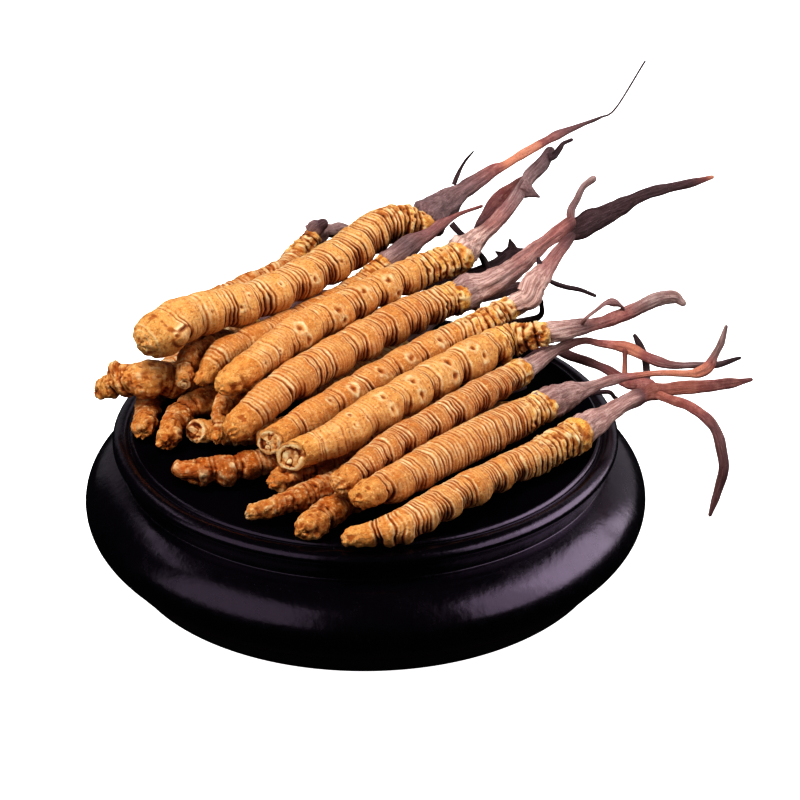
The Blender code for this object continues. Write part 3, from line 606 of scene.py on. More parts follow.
        # painted shade in the crack and under the lower edge, painted highlight on the top and on the rim above the
        # crack
        shade_and_marks = np.where(d < 1.0, shade_and_marks * step(.3, 1.0, d), shade_and_marks)
        shade_and_marks = np.maximum(shade_and_marks, .95 * arc_d)
        highlight_and_pale = np.where(d < 1.0, highlight_and_pale * step(.3, 1.0, d), highlight_and_pale)
        highlight_and_pale = np.clip(highlight_and_pale + .9 * np.exp(-((above - .66 + .30 * (v[..., 0] / mr) ** 2) / .16) ** 2) * step(1.1, .9, d)
                        + .45 * np.exp(-(d / .6) ** 2), 0, 1)
        shade_and_marks = shade_and_marks + .75 * np.exp(-((d - 1.12) / .13) ** 2) * step(.5, -.3, above)
    for ms, mt, mr, high in KNOBS.get(number, []):
        r = float(np.interp(np.clip(ms, 0, length), sp, path[:, 3]))
        spot = np.array([ms, r * math.cos(math.radians(mt)), r * math.sin(math.radians(mt))]) + seedling
        d = np.linalg.norm(skin - spot, axis=-1) / mr * (1 + .25 * noise(skin * 1.3, 47))
        off += high * np.exp(-d ** 3)
        # painted shade round the foot of each knob, painted highlight on its top
        shade_and_marks = shade_and_marks + .40 * np.exp(-((d - 1.1) / .22) ** 2)
        highlight_and_pale = np.clip(highlight_and_pale + .6 * np.exp(-(d / .5) ** 2), 0, 1)
    # folds radiating over the faces of both ends, and cracks across them
    inside = np.clip(1 - ra / np.where(at < length / 2, radius0[0], radius0[-1]), 0, 1)[:, None]
    inside = np.where((cap_t | cap_h)[:, None], inside, 0) + 0 * A
    off += (.03 if slope else .10) * np.sin(theta * 7 + 3 * noise(skin * .5, 51)) * step(.1, .5, inside) * step(1.0, .8, inside)
    if look["tail"] == "round":
        arcs = np.cos(inside * 30 + 2 * noise(skin * .6, 57)) * step(.06, .2, inside) * cap_t[:, None]
        off += .045 * arcs
        # painted highlight on the ridges of the rings
        highlight_and_pale = np.clip(highlight_and_pale + .45 * step(.3, .9, arcs), 0, 1)
    if look["tail"] in ("sunken", "face"):
        rim = cap_t[:, None] * np.exp(-((inside - .40) / .09) ** 2)
        # painted shade in the groove round the face and in the cracks, painted highlight just inside the rim
        shade_and_marks = shade_and_marks + (.22 if slope else .9) * rim * (.8 + .5 * noise(skin * 1.1, 53))
        off -= (.04 if slope else .18) * rim
        crack = cap_t[:, None] * step(.15, .42, inside) * np.exp(-(noise(skin * 1.15, 55) / .13) ** 2)
        off -= .20 * crack
        shade_and_marks = shade_and_marks + (1.5 if slope else .8) * crack
        highlight_and_pale = np.clip(highlight_and_pale + cap_t[:, None] * np.exp(-((inside - .22) / .10) ** 2), 0, 1)
        if slope:                                        # the turned face is paler, with weaker creases
            deep_in = cap_t[:, None] * step(.44, .56, inside)
            shade_and_marks = shade_and_marks * (1 - .45 * deep_in)
            highlight_and_pale = np.clip(highlight_and_pale + .75 * deep_in, 0, 1)
    # painted shade in the hollow of the head's crown
    hollow_shade = (cap_h[:, None] & (A > length)) * step(.25, .55, inside)
    off = off * (1 - .75 * step(.80, 1.0, inside))

    R = R0 + off * n_rad
    X2 = ax[:, None] + off * n_ax
    if slope:
        X2 = np.where(cap_t[:, None], .28 * ax[:, None] + turned + .6 * off * n_ax, X2)
        X2 = X2 + np.where((cap_t | cap_h)[:, None], 0, np.minimum(A, 0))
    squash = 1 - .05 * np.abs(sin)
    P = (centre + X2[..., None] * W + (R * cos)[..., None] * S + (R * squash * sin)[..., None] * U)
    rings = len(at)
    tip = P[0].mean(0)
    top = P[-1].mean(0)
    verts = np.vstack([P.reshape(-1, 3), tip, top]) * MM
    quads, tris = tube_faces(rings, sides)

    def layer(v, a, b):
        return np.r_[np.broadcast_to(v, A.shape).ravel(), a, b]
    gold = np.clip(head_mask * (.75 + .35 * noise(skin * .8, 61)), 0, 1)
    pale = np.clip(step(5.0, 0, A) * .8 + .25 * noise(skin * .4, 63), 0, 1)
    shade_and_marks = np.clip(shade_and_marks, 0, 1.25)
    highlight_and_pale = np.clip(highlight_and_pale * (.75 + .5 * noise(skin * [.8, 1.2, 1.2], 65)) * (1 - np.clip(shade_and_marks, 0, 1)), 0, 1)
    layers = {
        "shade_and_marks": layer(shade_and_marks, .3, .9), "highlight_and_pale": layer(highlight_and_pale, 0, 0),
        "gold": layer(gold, 0, .6), "pale": layer(pale, .8, 0),
        "hollow_shade": layer(hollow_shade, 0, 1),
        "tone": np.full(len(verts), look["tone"]),
        "skin": np.vstack([skin.reshape(-1, 3), skin[0, 0], skin[-1, 0]]),
    }
    ob = mesh_object("larva_%02d_skin" % number, verts, quads, tris, layers, tube_uv(rings, sides, along_rings(P)))
    ob.data.materials.append(larva_skin)
    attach(ob, "root")
    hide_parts("larva_%02d" % number)
    return ob


# ----------------------------------------------------------------- materials
class Nodes:
    """Short calls for building one material's nodes."""

    def __init__(self, name):
        self.mat = bpy.data.materials.new(name)
        self.mat.use_nodes = True
        self.tree = self.mat.node_tree
        self.bsdf = self.tree.nodes["Principled BSDF"]

    def put(self, kind, **set_to):
        node = self.tree.nodes.new(kind)
        for key, value in set_to.items():
            setattr(node, key, value)
        return node

    def link(self, a, b):
        self.tree.links.new(a, b)

    def attr(self, name, vector=False):
        node = self.put("ShaderNodeAttribute", attribute_name=name)
        return node.outputs["Vector" if vector else "Fac"]

    def noise(self, vector, scale, detail=3, rough=.55, stretch=None):
        if stretch:
            m = self.put("ShaderNodeMapping")
            m.inputs["Scale"].default_value = stretch
            self.link(vector, m.inputs["Vector"])
            vector = m.outputs["Vector"]
        n = self.put("ShaderNodeTexNoise")
        n.inputs["Scale"].default_value = scale
        n.inputs["Detail"].default_value = detail
        n.inputs["Roughness"].default_value = rough
        self.link(vector, n.inputs["Vector"])
        return n.outputs["Fac"]

    def range(self, value, a, b, c=0.0, d=1.0, smooth=True):
        n = self.put("ShaderNodeMapRange", interpolation_type="SMOOTHSTEP" if smooth else "LINEAR")
        for key, v in zip(("From Min", "From Max", "To Min", "To Max"), (a, b, c, d)):
            n.inputs[key].default_value = v
        self.link(value, n.inputs["Value"])
        return n.outputs["Result"]

    def math(self, op, a, b):
        n = self.put("ShaderNodeMath", operation=op)
        for k, v in enumerate((a, b)):
            if isinstance(v, (int, float)):
                n.inputs[k].default_value = v
            else:
                self.link(v, n.inputs[k])
        return n.outputs[0]

    def mix(self, fac, a, b, blend="MIX"):
        n = self.put("ShaderNodeMix", data_type="RGBA", blend_type=blend)
        if isinstance(fac, (int, float)):
            n.inputs["Factor"].default_value = fac
        else:
            self.link(fac, n.inputs["Factor"])
        for key, v in (("A", a), ("B", b)):
            socket = [s for s in n.inputs if s.name == key and s.type == "RGBA"][0]
            if isinstance(v, tuple):
                socket.default_value = (*v, 1.0)
            else:
                self.link(v, socket)
        return [s for s in n.outputs if s.type == "RGBA"][0]

    def bump(self, height, distance, strength=1.0, normal=None):
        n = self.put("ShaderNodeBump")
        n.inputs["Strength"].default_value = strength
        n.inputs["Distance"].default_value = distance
        self.link(height, n.inputs["Height"])
        if normal is not None:
            self.link(normal, n.inputs["Normal"])
        return n.outputs["Normal"]


def larva_material():
    n = Nodes("larva_skin")
    skin = n.attr("skin", True)
    shade_and_marks, highlight_and_pale, gold, pale, tone, hollow_shade = (n.attr(a) for a in ("shade_and_marks", "highlight_and_pale", "gold", "pale", "tone", "hollow_shade"))
    broad = n.noise(skin, .33, 3, .6)
    patch = n.noise(skin, .9, 4, .6)
    grain = n.noise(skin, 3.2, 4, .6)
    tan = n.mix(n.range(patch, .36, .66), (.86, .42, .130), (.74, .275, .058))
    tan = n.mix(n.range(broad, .38, .68, 0, .60), tan, (.93, .56, .225))
    dark = n.mix(n.range(patch, .35, .65), (.52, .160, .030), (.36, .085, .013))
    base = n.mix(n.range(tone, 0, 1, 0, 1, False), tan, dark)
    straw = n.mix(n.range(grain, .3, .7), (.94, .64, .30), (.84, .45, .14))
    base = n.mix(n.range(tone, .34, .0, 0, .6), base, straw)
    base = n.mix(n.math("MULTIPLY", pale, .36), base, straw)
    golden = n.mix(n.range(patch, .38, .62), (1.0, .62, .16), (.66, .22, .022))
    golden = n.mix(n.range(grain, .50, .70, 0, .7), golden, (1.0, .84, .40))
    base = n.mix(n.math("MULTIPLY", gold, .85), base, golden)
    # powdery light flecks, brown stains and small dark specks
    fleck = n.noise(skin, 2.7, 5, .72)
    base = n.mix(n.range(fleck, .51, .66, 0, .62), base, (1.0, .78, .44))
    mottle = n.noise(skin, 1.9, 5, .72, (.8, 1.0, 1.0))
    base = n.mix(n.range(mottle, .51, .62, 0, .68), base, (.60, .175, .028))
    stain = n.noise(skin, 1.0, 4, .65)
    base = n.mix(n.range(stain, .55, .72, 0, .50), base, (.46, .120, .020))
    speck = n.noise(skin, 3.0, 3, .6, (1.0, .8, .8))
    base = n.mix(n.range(speck, .61, .72, 0, .80), base, (.22, .050, .010))
    # painted highlight: ridge tops are painted pale; painted shade: creases are painted red brown, darkest in their
    # depths
    base = n.mix(n.math("MULTIPLY", highlight_and_pale, .92), base, (1.0, .90, .66))
    base = n.mix(n.range(shade_and_marks, .05, .50, 0, .78), base, (.40, .095, .013))
    base = n.mix(n.range(shade_and_marks, .42, 1.0, 0, .92), base, (.085, .013, .004))
    # painted shade in the head's hollow
    base = n.mix(n.math("MULTIPLY", hollow_shade, .85), base, (.16, .045, .018))
    base = n.mix(1.0, base, (1.0, .94, .81), "MULTIPLY")
    n.link(base, n.bsdf.inputs["Base Color"])
    n.link(n.range(grain, .3, .7, .44, .66), n.bsdf.inputs["Roughness"])
    n.bsdf.inputs["Specular IOR Level"].default_value = .42
    wrinkle = n.noise(skin, 1.6, 4, .65, (2.6, .55, .55))
    one = n.bump(wrinkle, .00038, .7)
    two = n.bump(grain, .00036, .85, one)
    n.link(n.bump(mottle, .00045, .55, two), n.bsdf.inputs["Normal"])
    return n.mat


larva_skin = larva_material()


# -------------------------------------------------------------------- stalks
# How a stalk changes from its foot (0) to its tip (1): place, then how pale
# and fibrous, how red and how dark it is, and how thick it is through
# compared with its width.
STALK_LOOKS = {
    "stalk_01": [(0, .70, .10, 0, .90), (.20, .60, .15, 0, .80), (.40, .50, .15, 0, .80), (.45, .1, .3, .5, .7), (.48, 0, .80, .40, .45), (.70, 0, .85, .30, .45), (1, 0, .60, .50, .55)],
    "stalk_01_prong": [(0, 0, .85, .20, .6), (.3, 0, .75, .20, .6), (.45, .05, .35, .50, .6), (1, 0, .30, .60, .7)],
    "stalk_02": [(0, .45, .10, .20, .85), (.20, .50, .10, .10, .75), (.38, .45, .20, .05, .7), (.50, .15, .85, 0, .6), (.74, .10, .95, 0, .6), (.82, .25, .85, 0, .6), (.88, .45, 0, .10, .6), (1, .35, 0, .35, .7)],
    "stalk_03": [(0, .65, 0, .15, .80), (.20, .55, .10, .05, .7), (.36, .20, .50, 0, .6), (.50, 0, .85, 0, .55), (.58, 0, .95, .15, .55), (.66, .10, .50, .15, .6), (.80, .25, .05, .35, .7), (1, 0, 0, .90, .8)],
    "stalk_04": [(0, .85, 0, 0, .80), (.18, .70, .05, 0, .75), (.28, .30, .20, .35, .7), (.36, .20, .55, .10, .7), (.58, .25, .70, 0, .7), (.68, .30, .20, .05, .75), (.76, .45, 0, .08, .8), (1, .50, 0, .12, .8)],
    "stalk_04_loop": [(0, .35, .20, .05, .7), (.6, .20, .25, .10, .7), (1, .10, .30, .30, .8)],
    "stalk_05": [(0, .95, 0, 0, .70), (.45, .80, .10, 0, .6), (.60, .35, .40, .05, .55), (.80, .15, .45, .20, .5), (1, 0, .30, .70, .5)],
    "stalk_05_needle": [(0, 0, 0, .90, 1), (1, 0, 0, .90, 1)],
    "stalk_06": [(0, .40, 0, .22, .85), (.2, .70, .05, 0, .6), (.45, .60, .25, 0, .6), (.75, .42, .50, 0, .65), (.92, .15, .60, .10, .7), (1, .05, .50, .40, .9)],
    "stalk_06_blade": [(0, 0, .55, .60, .55), (.12, 0, .10, .80, .40), (.6, .10, 0, .78, .4), (.88, 0, .20, .70, .5), (1, 0, 1, .20, .7)],
    "stalk_06_twig": [(0, .10, .30, .30, .8), (.4, .20, .05, .30, .8), (1, .35, 0, .15, .8)],
    "stalk_07": [(0, 1, 0, 0, .85), (.22, 1, .05, 0, .7), (.32, .45, .40, 0, .6), (.45, .22, .35, .08, .55), (.6, .25, 0, .12, .5), (.8, .18, 0, .30, .5), (1, .05, 0, .60, .8)],
    "stalk_07_blade": [(0, 0, .10, .80, .5), (.25, 0, .45, .50, .4), (.6, 0, .75, .40, .35), (1, .10, .30, .40, .4)],
    "stalk_08": [(0, .60, 0, 0, .80), (.25, .15, 0, .45, .8), (.45, .10, .35, .20, .6), (1, 0, .70, .10, .8)],
    "stalk_09": [(0, .12, 0, .32, .90), (.12, .15, 0, .22, .75), (.24, .12, .15, .12, .65), (.32, .05, .45, .05, .6), (.40, 0, 1, 0, .6), (.52, 0, .95, 0, .6), (.57, 0, .50, .05, .6), (.66, 0, .25, .30, .7), (.75, 0, .10, .70, .8), (1, 0, 0, .90, 1)],
    "stalk_10": [(0, .20, .05, .30, .90), (.4, .35, 0, .15, .8), (1, .20, 0, .20, .7)],
    "stalk_11": [(0, .20, 0, .60, .80), (1, 0, .10, .90, .8)],
    "stalk_13": [(0, .30, 0, .50, .80), (.5, 0, .25, .65, .7), (.75, 0, .40, .45, .7), (.88, 0, .75, .20, .6), (1, .20, .55, .10, .6)],
    "stalk_13_leaf": [(0, .10, .20, .60, .5), (.3, .05, 0, .80, .5), (1, 0, 0, .95, .6)],
    "stalk_15": [(0, .30, 0, .50, .80), (.6, .10, 0, .70, .8), (1, 0, 0, .95, .8)],
    "stalk_16": [(0, .40, 0, .40, .60), (1, .20, .10, .50, .5)],
    "stalk_20": [(0, .30, 0, .50, .80), (.7, .05, 0, .80, .5), (1, 0, 0, .85, .5)],
    "other": [(0, .50, 0, .30, .80), (.3, .20, .15, .40, .75), (1, 0, .10, .70, .8)],
    "thorn": [(0, 0, .10, .80, .9), (1, 0, 0, .95, 1)],
    "bark": [(0, .25, .05, .10, .5), (.6, .15, 0, .20, .5), (1, .05, 0, .55, .6)],
    "red": [(0, 0, .90, .25, .9), (1, 0, .80, .35, .9)],
    "leaf": [(0, .05, 0, .80, .35), (1, 0, 0, .88, .4)],
    "rust": [(0, .10, .60, .10, .6), (1, .10, .70, .10, .6)],
}

# Thorns, spurs and hooks too thin to be solids of their own, with their look.
SPURS = {
    "stalk_10": [("bark", [(-9.0, 33.6, 39.6, 1.5), (-8.2, 33.4, 40.6, 1.55), (-7.4, 33.2, 41.3, 1.0)])],
    "stalk_09": [("thorn", [(14.5, 45, 43, .42), (15.5, 46.25, 45, .28), (16.5, 47, 46.5, .22), (17.75, 47.75, 47.75, .13)])],
    "stalk_08": [("thorn", [(14, 36.25, 40, .52), (15.25, 35.75, 38.75, .49), (16.5, 35.25, 38, .36)])],
    "stalk_07": [("bark", [(25.5, 40, 45, 1.75), (26.5, 39.75, 44.5, 1.35), (27.5, 39.5, 44, .70), (28.5, 39.25, 43.5, .20)]),
                 ("leaf", [(30.25, 46.5, 47.25, .72), (31.25, 46.75, 47.5, .56), (32.25, 47.25, 48.75, .46), (32.75, 47.75, 49.25, .38), (34, 48, 49.75, .36)])],
    "stalk_05": [("thorn", [(29.75, 20.75, 39.5, .58), (28.25, 21, 40.25, .48), (28, 21.5, 40.75, .32)])],
    "stalk_20": [("leaf", [(24, 34.5, 34.75, 1.1), (22.5, 34.5, 35, .80), (21.5, 34.75, 35.5, .21)]),
                 ("leaf", [(24, 35, 34.5, 1.2), (24, 35.5, 36, .80), (23.75, 36, 37, .26)]),
                 ("leaf", [(24.5, 35, 34.75, 1.0), (26, 35, 35.5, .57), (26.5, 35.25, 35.5, .21)]),
                 ("thorn", [(20, 32.25, 33.5, .60), (19.5, 32.75, 34.75, .60), (18.75, 33.5, 35.75, .42)])],
    "stalk_13": [("red", [(41.75, 9.25, 26.25, .42), (41.75, 10.25, 27.75, .36), (41.75, 11, 29.5, .40)]),
                 ("rust", [(44.5, 6.5, 25.5, 1.0), (42.75, 6.5, 25.75, .92), (41.25, 6.75, 26, .60)])],
}

FORKED = {"stalk_01": ["stalk_01_prong"], "stalk_04": ["stalk_04_loop"],
          "stalk_05": ["stalk_05_needle"], "stalk_06": ["stalk_06_blade", "stalk_06_twig"],
          "stalk_07": ["stalk_07_blade"], "stalk_13": ["stalk_13_leaf"]}

# Where a fork grows out of its stem: rows added before and after its own.
ROOTS = {
    "stalk_01_prong": ([(46.25, -0.5, 28, .8)], []),
    "stalk_04_loop": ([(34.5, 11.5, 34, .4)], [(42, 17.25, 33.5, .3)]),
    "stalk_05_needle": ([(29.5, 19, 38.25, .32)], []),
    "stalk_06_blade": ([(32.75, 33.5, 40, .9), (34, 34.75, 39.5, 1.8)], []),
    "stalk_06_twig": ([(33.75, 34.25, 41.25, .6)], []),
    "stalk_07_blade": ([], [(26.75, 43, 45.5, .3)]),
    "stalk_13_leaf": ([(45.25, 8, 25.75, .6)], []),
}

# Blades that spread against their stem: shift x, y, z and widening.
SPREAD = {"stalk_07_blade": (.35, 0, -.1, 1.35)}

# How far the foot of a stalk wraps over the end of the head it grew from.
WRAP = {1: .75, 2: 1.0, 3: .7, 4: .55, 5: .7, 6: 1.15, 7: .95, 8: .9, 9: 1.2, 10: .8}

# Tips that dry out to less than their solids' width.
FINE_TIPS = {"stalk_09": .52, "stalk_08": .8, "stalk_03": .8}

FACING = (0, -.88, .48)    # flat blades show their broad side to the front


def branch(rows, look, seed, sunk=False, spacing=.22, sides=28):
    """Arrays of one tapering, fibrous branch."""
    path, s = resample(spline(rows), spacing)
    centre, radius = path[:, :3], path[:, 3]
    length = s[-1]
    way, side, up = frames(centre, FACING, .3)
    tip = np.radians([25, 45, 62, 77])
    nt = len(tip)
    C = np.vstack([centre, centre[-1] + way[-1] * radius[-1] * np.sin(tip)[:, None] * 1.3])
    W = np.vstack([way, np.repeat(way[-1:], nt, 0)])
    S = np.vstack([side, np.repeat(side[-1:], nt, 0)])
    U = np.vstack([up, np.repeat(up[-1:], nt, 0)])
    ra = np.r_[radius, radius[-1] * np.cos(tip)]
    at = np.r_[s, length + radius[-1] * np.sin(tip)]
    big = np.r_[radius, np.full(nt, radius[-1])]
    stops = np.array(STALK_LOOKS[look], float)
    f = at / length
    pale, red, dark, thick = (np.interp(f, stops[:, 0], stops[:, a]) for a in (1, 2, 3, 4))
    theta = np.arange(sides) * 2 * math.pi / sides
    cos, sin = np.cos(theta), np.sin(theta)
    A = np.repeat(at[:, None], sides, 1)
    skin = np.stack([A, np.maximum(big, .5)[:, None] * cos, np.maximum(big, .5)[:, None] * sin], -1) + 31.0 * seed
    rib = noise(skin * [.20, 1.7, 1.7], 71) + .5 * noise(skin * [.35, 3.6, 3.6], 73)
    lump = noise(skin * [.38, .5, .5], 75)
    thick_r = big[:, None]
    off = thick_r * (.10 * rib * (.6 + 1.1 * pale[:, None]) + .12 * lump)
    off += .10 * pale[:, None] * noise(skin * 1.6, 77) * np.clip(thick_r, 0, 1.5)
    shag = step(4.5, .5, A)
    off += shag * np.clip(thick_r, 0, 2.2) * (.09 * noise(skin * [.9, 1.3, 1.3], 81) + .05 * noise(skin * 2.4, 83))
    # a rolled edge and a shallow channel along flat blades
    thin = np.clip(1 - thick, 0, 1)[:, None]
    off -= thick_r * .32 * thin * np.exp(-((np.abs(cos)[None, :] - .35) / .22) ** 2)
    ra = ra * np.interp(f, [0, .62, .80, 1], [1, 1, FINE_TIPS.get(look, 1), FINE_TIPS.get(look, 1)])
    wave = 1 + .10 * noise(np.stack([at * .5, 0 * at + seed * 3.3, 0 * at], -1), 79)
    R = ra[:, None] * wave[:, None] + off * (ra / big)[:, None]
    P = (C[:, None] + (R * cos)[..., None] * S[:, None]
         + (R * thick[:, None] * sin)[..., None] * U[:, None])
    rings = len(at)
    ends = np.stack([C[0] - way[0] * .05, C[-1] + way[-1] * .06 * radius[-1]])
    verts = np.vstack([P.reshape(-1, 3), ends]) * MM

    def layer(v):
        v = np.broadcast_to(v[:, None] if v.ndim == 1 else v, A.shape)
        return np.r_[v.ravel(), v[0, 0], v[-1, 0]]
    # painted shade in the grooves between the fibres
    hollow_shade = np.clip(-rib * .9, 0, 1) * (.4 + .6 * pale[:, None])
    layers = {"pale": layer(pale), "red": layer(red), "dark": layer(dark),
              "hollow_shade": layer(hollow_shade),
              "skin": np.vstack([skin.reshape(-1, 3), skin[0, 0], skin[-1, 0]])}
    return verts, rings, sides, layers


def build_stalk(number):
    name = "stalk_%02d" % number
    rows = STALKS[number]
    head = np.array(LARVAE[number][-1], float)
    way = unit(np.array(rows[1][:3], float) - head[:3])
    foot = head[:3] + way * (head[3] + JOINT_GAP)
    wrap = WRAP.get(number, .5)
    flare = max(rows[0][3] * 1.04, head[3] * (.60 + .36 * wrap))
    start = [(*(head[:3] - way * head[3] * .10), head[3] * (.60 + .22 * wrap)),
             (*(head[:3] + way * head[3] * .45), head[3] * (.62 + .28 * wrap)),
             (*(head[:3] + way * head[3] * .95), flare),
             (*(foot + way * .9), rows[0][3] * 1.0)]
    look = name if name in STALK_LOOKS else "other"
    seen = number <= 10
    made = [branch(start + rows[1:], look, number, spacing=.22 if seen else .32, sides=34 if seen else 24)]
    for k, fork in enumerate(FORKED.get(name, [])):
        before, after = ROOTS.get(fork, ([], []))
        dx, dy, dz, wide = SPREAD.get(fork, (0, 0, 0, 1))
        own = [(x + dx, y + dy, z + dz, r * wide) for x, y, z, r in FORKS[fork]]
        made.append(branch(before + own + after, fork, number + 40 + k, spacing=.25, sides=24))
    for k, (kind, spur) in enumerate(SPURS.get(name, [])):
        made.append(branch(spur, kind, number + 60 + k, spacing=.18, sides=16))
    verts, quads, tris, layers, first = [], [], [], {}, 0
    maps, widths, left = [[], []], [], 0.0
    for v, rings, sides, layer in made:
        ring = v[:rings * sides].reshape(rings, sides, 3)
        round_it = np.linalg.norm(ring - np.roll(ring, 1, axis=1), axis=2).sum(1).mean()
        widths.append((round_it + .001, along_rings(ring)))
    total, tallest = sum(w for w, run in widths), max(run[-1] for w, run in widths)
    for (v, rings, sides, layer), (w, run) in zip(made, widths):
        right = left + w / total
        box = (left + .004, .004, right - .004, .004 + .99 * run[-1] / tallest)
        for part, more in zip(maps, tube_uv(rings, sides, run, box)):
            part.append(more)
        left = right
        q, t = tube_faces(rings, sides, first)
        verts.append(v)
        quads.append(q)
        tris.append(t)
        for key, values in layer.items():
            layers.setdefault(key, []).append(values)
        first += len(v)
    ob = mesh_object(name + "_fibre", np.vstack(verts), np.vstack(quads), np.vstack(tris),
                     {k: np.concatenate(v) for k, v in layers.items()}, [np.vstack(m) for m in maps])
    ob.data.materials.append(stalk_fibre)
    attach(ob, "root")
    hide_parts(name, *FORKED.get(name, []))
    return ob


def stalk_material():
    n = Nodes("stalk_fibre")
    skin = n.attr("skin", True)
    pale, red, dark, hollow_shade = (n.attr(a) for a in ("pale", "red", "dark", "hollow_shade"))
    fibre = n.noise(skin, 1.0, 5, .65, (.30, 3.4, 3.4))
    blotch = n.noise(skin, .7, 4, .6)
    grit = n.noise(skin, 4.0, 3, .6)
    base = n.mix(n.range(blotch, .35, .65), (.245, .148, .158), (.140, .078, .086))
    base = n.mix(n.range(fibre, .42, .64, 0, .50), base, (.37, .25, .26))
    light = n.mix(n.range(fibre, .36, .66), (.42, .235, .20), (.90, .66, .58))
    base = n.mix(pale, base, light)
    rust = n.mix(n.range(blotch, .40, .68), (.34, .085, .068), (.62, .25, .20))
    glow = n.mix(n.range(red, .70, 1.0), rust, (.66, .28, .18))
    base = n.mix(red, base, glow)
    ink = n.mix(n.range(fibre, .42, .66), (.016, .008, .011), (.070, .040, .050))
    base = n.mix(dark, base, ink)
    streak = n.noise(skin, 1.5, 4, .6, (.22, 3.0, 3.0))
    base = n.mix(n.math("MULTIPLY", n.range(streak, .56, .72, 0, .30), n.range(dark, 0, .8, 1, .15)), base, (.88, .62, .56))
    # painted shade in the grooves between the fibres
    base = n.mix(n.math("MULTIPLY", hollow_shade, .75), base, (.060, .020, .018))
    base = n.mix(n.range(grit, .62, .76, 0, .35), base, (.66, .46, .40))
    base = n.mix(n.range(grit, .30, .42, .55, 0), base, (.055, .020, .014))
    n.link(base, n.bsdf.inputs["Base Color"])
    n.link(n.range(fibre, .3, .7, .42, .64), n.bsdf.inputs["Roughness"])
    n.bsdf.inputs["Specular IOR Level"].default_value = .34
    one = n.bump(fibre, .00030, .7)
    two = n.bump(grit, .00010, .5, one)
    n.link(two, n.bsdf.inputs["Normal"])
    return n.mat


# --------------------------------------------------------------------- stand
def arc(cr, cz, rr, rz, a, b, n):
    """Points on an elliptical arc in (radius, height), angles in degrees."""
    t = np.radians(np.linspace(a, b, n))
    return list(zip(cr + rr * np.cos(t), cz + rz * np.sin(t)))


def stand_profile():
    out = [(0.0, 0.0), (12.0, 0.0), (25.0, 0.0), (37.0, 0.0)]
    out += arc(38.3, .55, .6, .55, -90, -8, 6)            # rounded foot
    out += [(39.6, 1.4), (40.5, 2.4), (41.4, 3.4), (42.1, 4.25)]
    out += [(42.32, 4.55), (42.30, 4.80), (42.52, 4.98)]  # crease above the foot
    low = math.degrees(math.asin((5.15 - 9.65) / 7.1))
    out += arc(35.5, 9.65, 9.5, 7.1, low, 70.6, 58)       # belly
    out += [(38.61, 16.40), (38.58, 16.50), (38.57, 17.0), (38.58, 17.5), (38.70, 18.05), (38.98, 18.5), (39.35, 18.95)]
    out += arc(38.7, 20.40, 1.65, 1.30, -52, 84, 20)      # shoulder bead
    out += [(38.5, 21.68), (38.15, 21.55), (37.92, 21.40), (37.78, 21.30)]
    out += arc(36.75, 21.40, .92, .78, -6, 90, 14)        # edge of the plate
    out += [(36.3, 22.16), (35.8, 22.04), (35.2, 21.94), (34.4, 21.90), (30.0, 21.90), (20.0, 21.90), (10.0, 21.90), (0.0, 21.90)]
    return out


def build_stand():
    pts = np.array(stand_profile())
    t = np.r_[0, np.cumsum(np.hypot(*np.diff(pts, axis=0).T))]
    fine = []
    for a in range(len(pts) - 1):                          # splits long stretches
        n = max(1, int((t[a + 1] - t[a]) / 1.6))
        for k in range(n):
            fine.append(pts[a] + (pts[a + 1] - pts[a]) * k / n)
    fine = np.array(fine[1:] if fine[0][0] == 0 else fine)
    sides = 288
    theta = np.arange(sides) * 2 * math.pi / sides
    r, z = fine[:, 0][:, None], fine[:, 1][:, None]
    ring = np.stack([np.cos(theta) + 0 * r, np.sin(theta) + 0 * r, z / 40 + 0 * theta], -1)
    # hand finished: a hair's breadth out of true
    r = r + .05 * noise(ring * [1.6, 1.6, 3.0], 91) * (r > 30)
    P = np.stack([r * np.cos(theta), r * np.sin(theta), z + 0 * theta], -1)
    ends = np.array([(0, 0, 0), (0, 0, 21.9)], float)
    verts = np.vstack([P.reshape(-1, 3), ends]) * MM
    quads, tris = tube_faces(len(fine), sides)
    height = np.r_[np.repeat(fine[:, 1], sides), 0, 21.9]
    reach = np.r_[np.repeat(fine[:, 0], sides), 0, 0]
    foot = np.exp(-((height - 4.8) / .28) ** 2) * (reach > 41)
    groove = np.exp(-((height - 21.40) / .16) ** 2) * (reach > 37.5) + np.exp(-((height - 17.3) / .5) ** 2) * (reach > 38)
    ob = mesh_object("stand_lacquered", verts, quads, tris,
                     {"foot": foot, "groove": np.clip(groove, 0, 1), "skin": verts * 1000},
                     tube_uv(len(fine), sides, along_rings(P)))
    ob.data.materials.append(black_lacquer)
    ob.data.materials.append(dull_lacquer)
    me = ob.data
    mid = np.zeros(len(me.polygons) * 3)
    me.polygons.foreach_get("center", mid)
    mid = mid.reshape(-1, 3)
    flat = (mid[:, 2] > .02185) & (np.hypot(mid[:, 0], mid[:, 1]) < .0371)
    me.polygons.foreach_set("material_index", flat.astype(np.int32))
    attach(ob, "root")
    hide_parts("stand")
    return ob


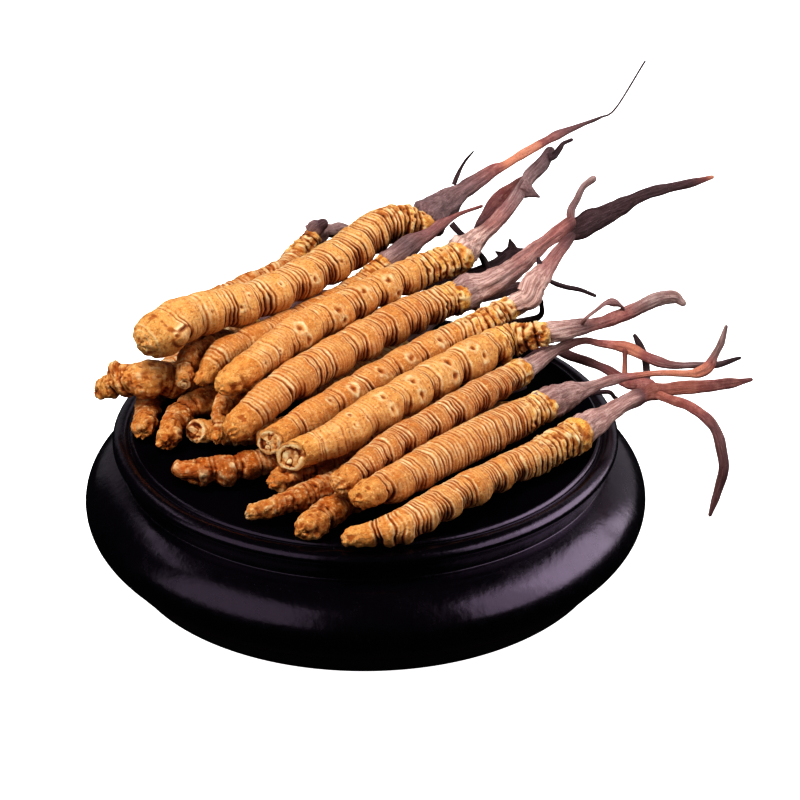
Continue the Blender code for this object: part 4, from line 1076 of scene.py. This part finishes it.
def lacquer_material(name, ior, smooth, rough):
    n = Nodes(name)
    skin = n.attr("skin", True)
    foot, groove = n.attr("foot"), n.attr("groove")
    cloud = n.noise(skin, .06, 4, .6)
    base = n.mix(n.range(cloud, .35, .65), (.0016, .0010, .0022), (.0034, .0020, .0042))
    base = n.mix(n.math("MULTIPLY", foot, .8), base, (.050, .012, .010))
    dust = n.noise(skin, 1.9, 2, .5)
    specks = n.range(dust, .735, .80)
    base = n.mix(n.math("MULTIPLY", specks, n.math("ADD", .10, n.math("MULTIPLY", groove, .75))), base, (.30, .27, .30))
    n.link(base, n.bsdf.inputs["Base Color"])
    wear = n.noise(skin, .35, 5, .7)
    n.link(n.range(wear, .3, .75, smooth, rough), n.bsdf.inputs["Roughness"])
    n.bsdf.inputs["IOR"].default_value = ior
    n.bsdf.inputs["Specular Tint"].default_value = (.92, .72, 1.0, 1.0)
    peel = n.bump(n.noise(skin, .9, 3, .5), .00010, .4)
    n.link(n.bump(n.noise(skin, .25, 3, .5), .00020, .3, peel), n.bsdf.inputs["Normal"])
    return n.mat


stalk_fibre = stalk_material()
# the mouldings are polished, the plate has gone dull
black_lacquer = lacquer_material("black_lacquer", 1.95, .20, .30)
dull_lacquer = lacquer_material("dull_lacquer", 1.06, .34, .46)

CAMERA_DOWN = 28.55
CAMERA_PLACE = (0.00553, -0.55865, 0.33048)

build_stand()
for number in LARVAE:
    build_larva(number)
    build_stalk(number)


# ------------------------------------------------------- floor, light, camera
def paint(name, colour, roughness=.8, emission=0.0):
    m = bpy.data.materials.new(name)
    m.use_nodes = True
    b = m.node_tree.nodes["Principled BSDF"]
    b.inputs["Base Color"].default_value = (*colour, 1)
    b.inputs["Roughness"].default_value = roughness
    b.inputs["Emission Color"].default_value = (1, 1, 1, 1)
    b.inputs["Emission Strength"].default_value = emission
    return m


bpy.ops.mesh.primitive_plane_add(size=8, location=(0, 0, -0.0002))
floor = bpy.context.object
floor.name = "floor"
floor.data.materials.append(paint("pale_floor", (.92, .92, .92), .9, .75))
floor.visible_glossy = False
floor.visible_diffuse = False

scene = bpy.context.scene
scene.view_settings.view_transform = "Standard"
scene.view_settings.look = "High Contrast"
world = bpy.data.worlds.new("studio")
scene.world = world
world.use_nodes = True
world.node_tree.nodes["Background"].inputs["Color"].default_value = (1, 1, 1, 1)
world.node_tree.nodes["Background"].inputs["Strength"].default_value = .008


def softbox(name, place, aim, size, power, colour=(1, 1, 1)):
    data = bpy.data.lights.new(name, "AREA")
    data.shape = "RECTANGLE"
    data.size, data.size_y = size
    data.energy = power
    data.color = colour
    ob = bpy.data.objects.new(name, data)
    scene.collection.objects.link(ob)
    from mathutils import Vector
    ob.location = place
    ob.rotation_euler = (Vector(aim) - Vector(place)).to_track_quat("-Z", "Y").to_euler()
    return ob


def around(azimuth, distance, height):
    """A place round the stand, azimuth in degrees from +X."""
    t = math.radians(azimuth)
    return (distance * math.cos(t), distance * math.sin(t), height)


# Two tall softboxes stand at the sides, the right one brighter and wider, and
# draw the broad soft bands on the lacquer; the one overhead lights the heap
# and isn't seen in the lacquer.
softbox("left", around(-142, .5, .34), (0, 0, .34), (.62, .66), .62)
softbox("edge", around(153, .35, .34), (0, 0, .0), (.30, .06), .045)
softbox("right", around(-6, .5, .34), (0, 0, .34), (.90, .66), 2.0)
softbox("right_core", around(9, .48, .27), (0, 0, .27), (.50, .42), .62)
softbox("rear", around(60, .5, .26), (0, 0, .26), (.50, .50), .27)
softbox("rear_left", around(110, .5, .14), (0, 0, .10), (.34, .30), .07)
top = softbox("top", (-.12, -.12, .55), (0, 0, .03), (.30, .30), 2.65)
top.visible_glossy = False
fill = softbox("fill", around(-158, .42, .26), (-.030, -.004, .028), (.20, .20), .55)
fill.visible_glossy = False

cam = bpy.data.cameras.new("camera")
cam.lens = 180
cam.sensor_width = 36
cam.clip_start, cam.clip_end = .05, 20
camera = bpy.data.objects.new("camera", cam)
scene.collection.objects.link(camera)
camera.location = CAMERA_PLACE
camera.rotation_euler = (math.radians(90 - CAMERA_DOWN), 0, 0)
scene.camera = camera
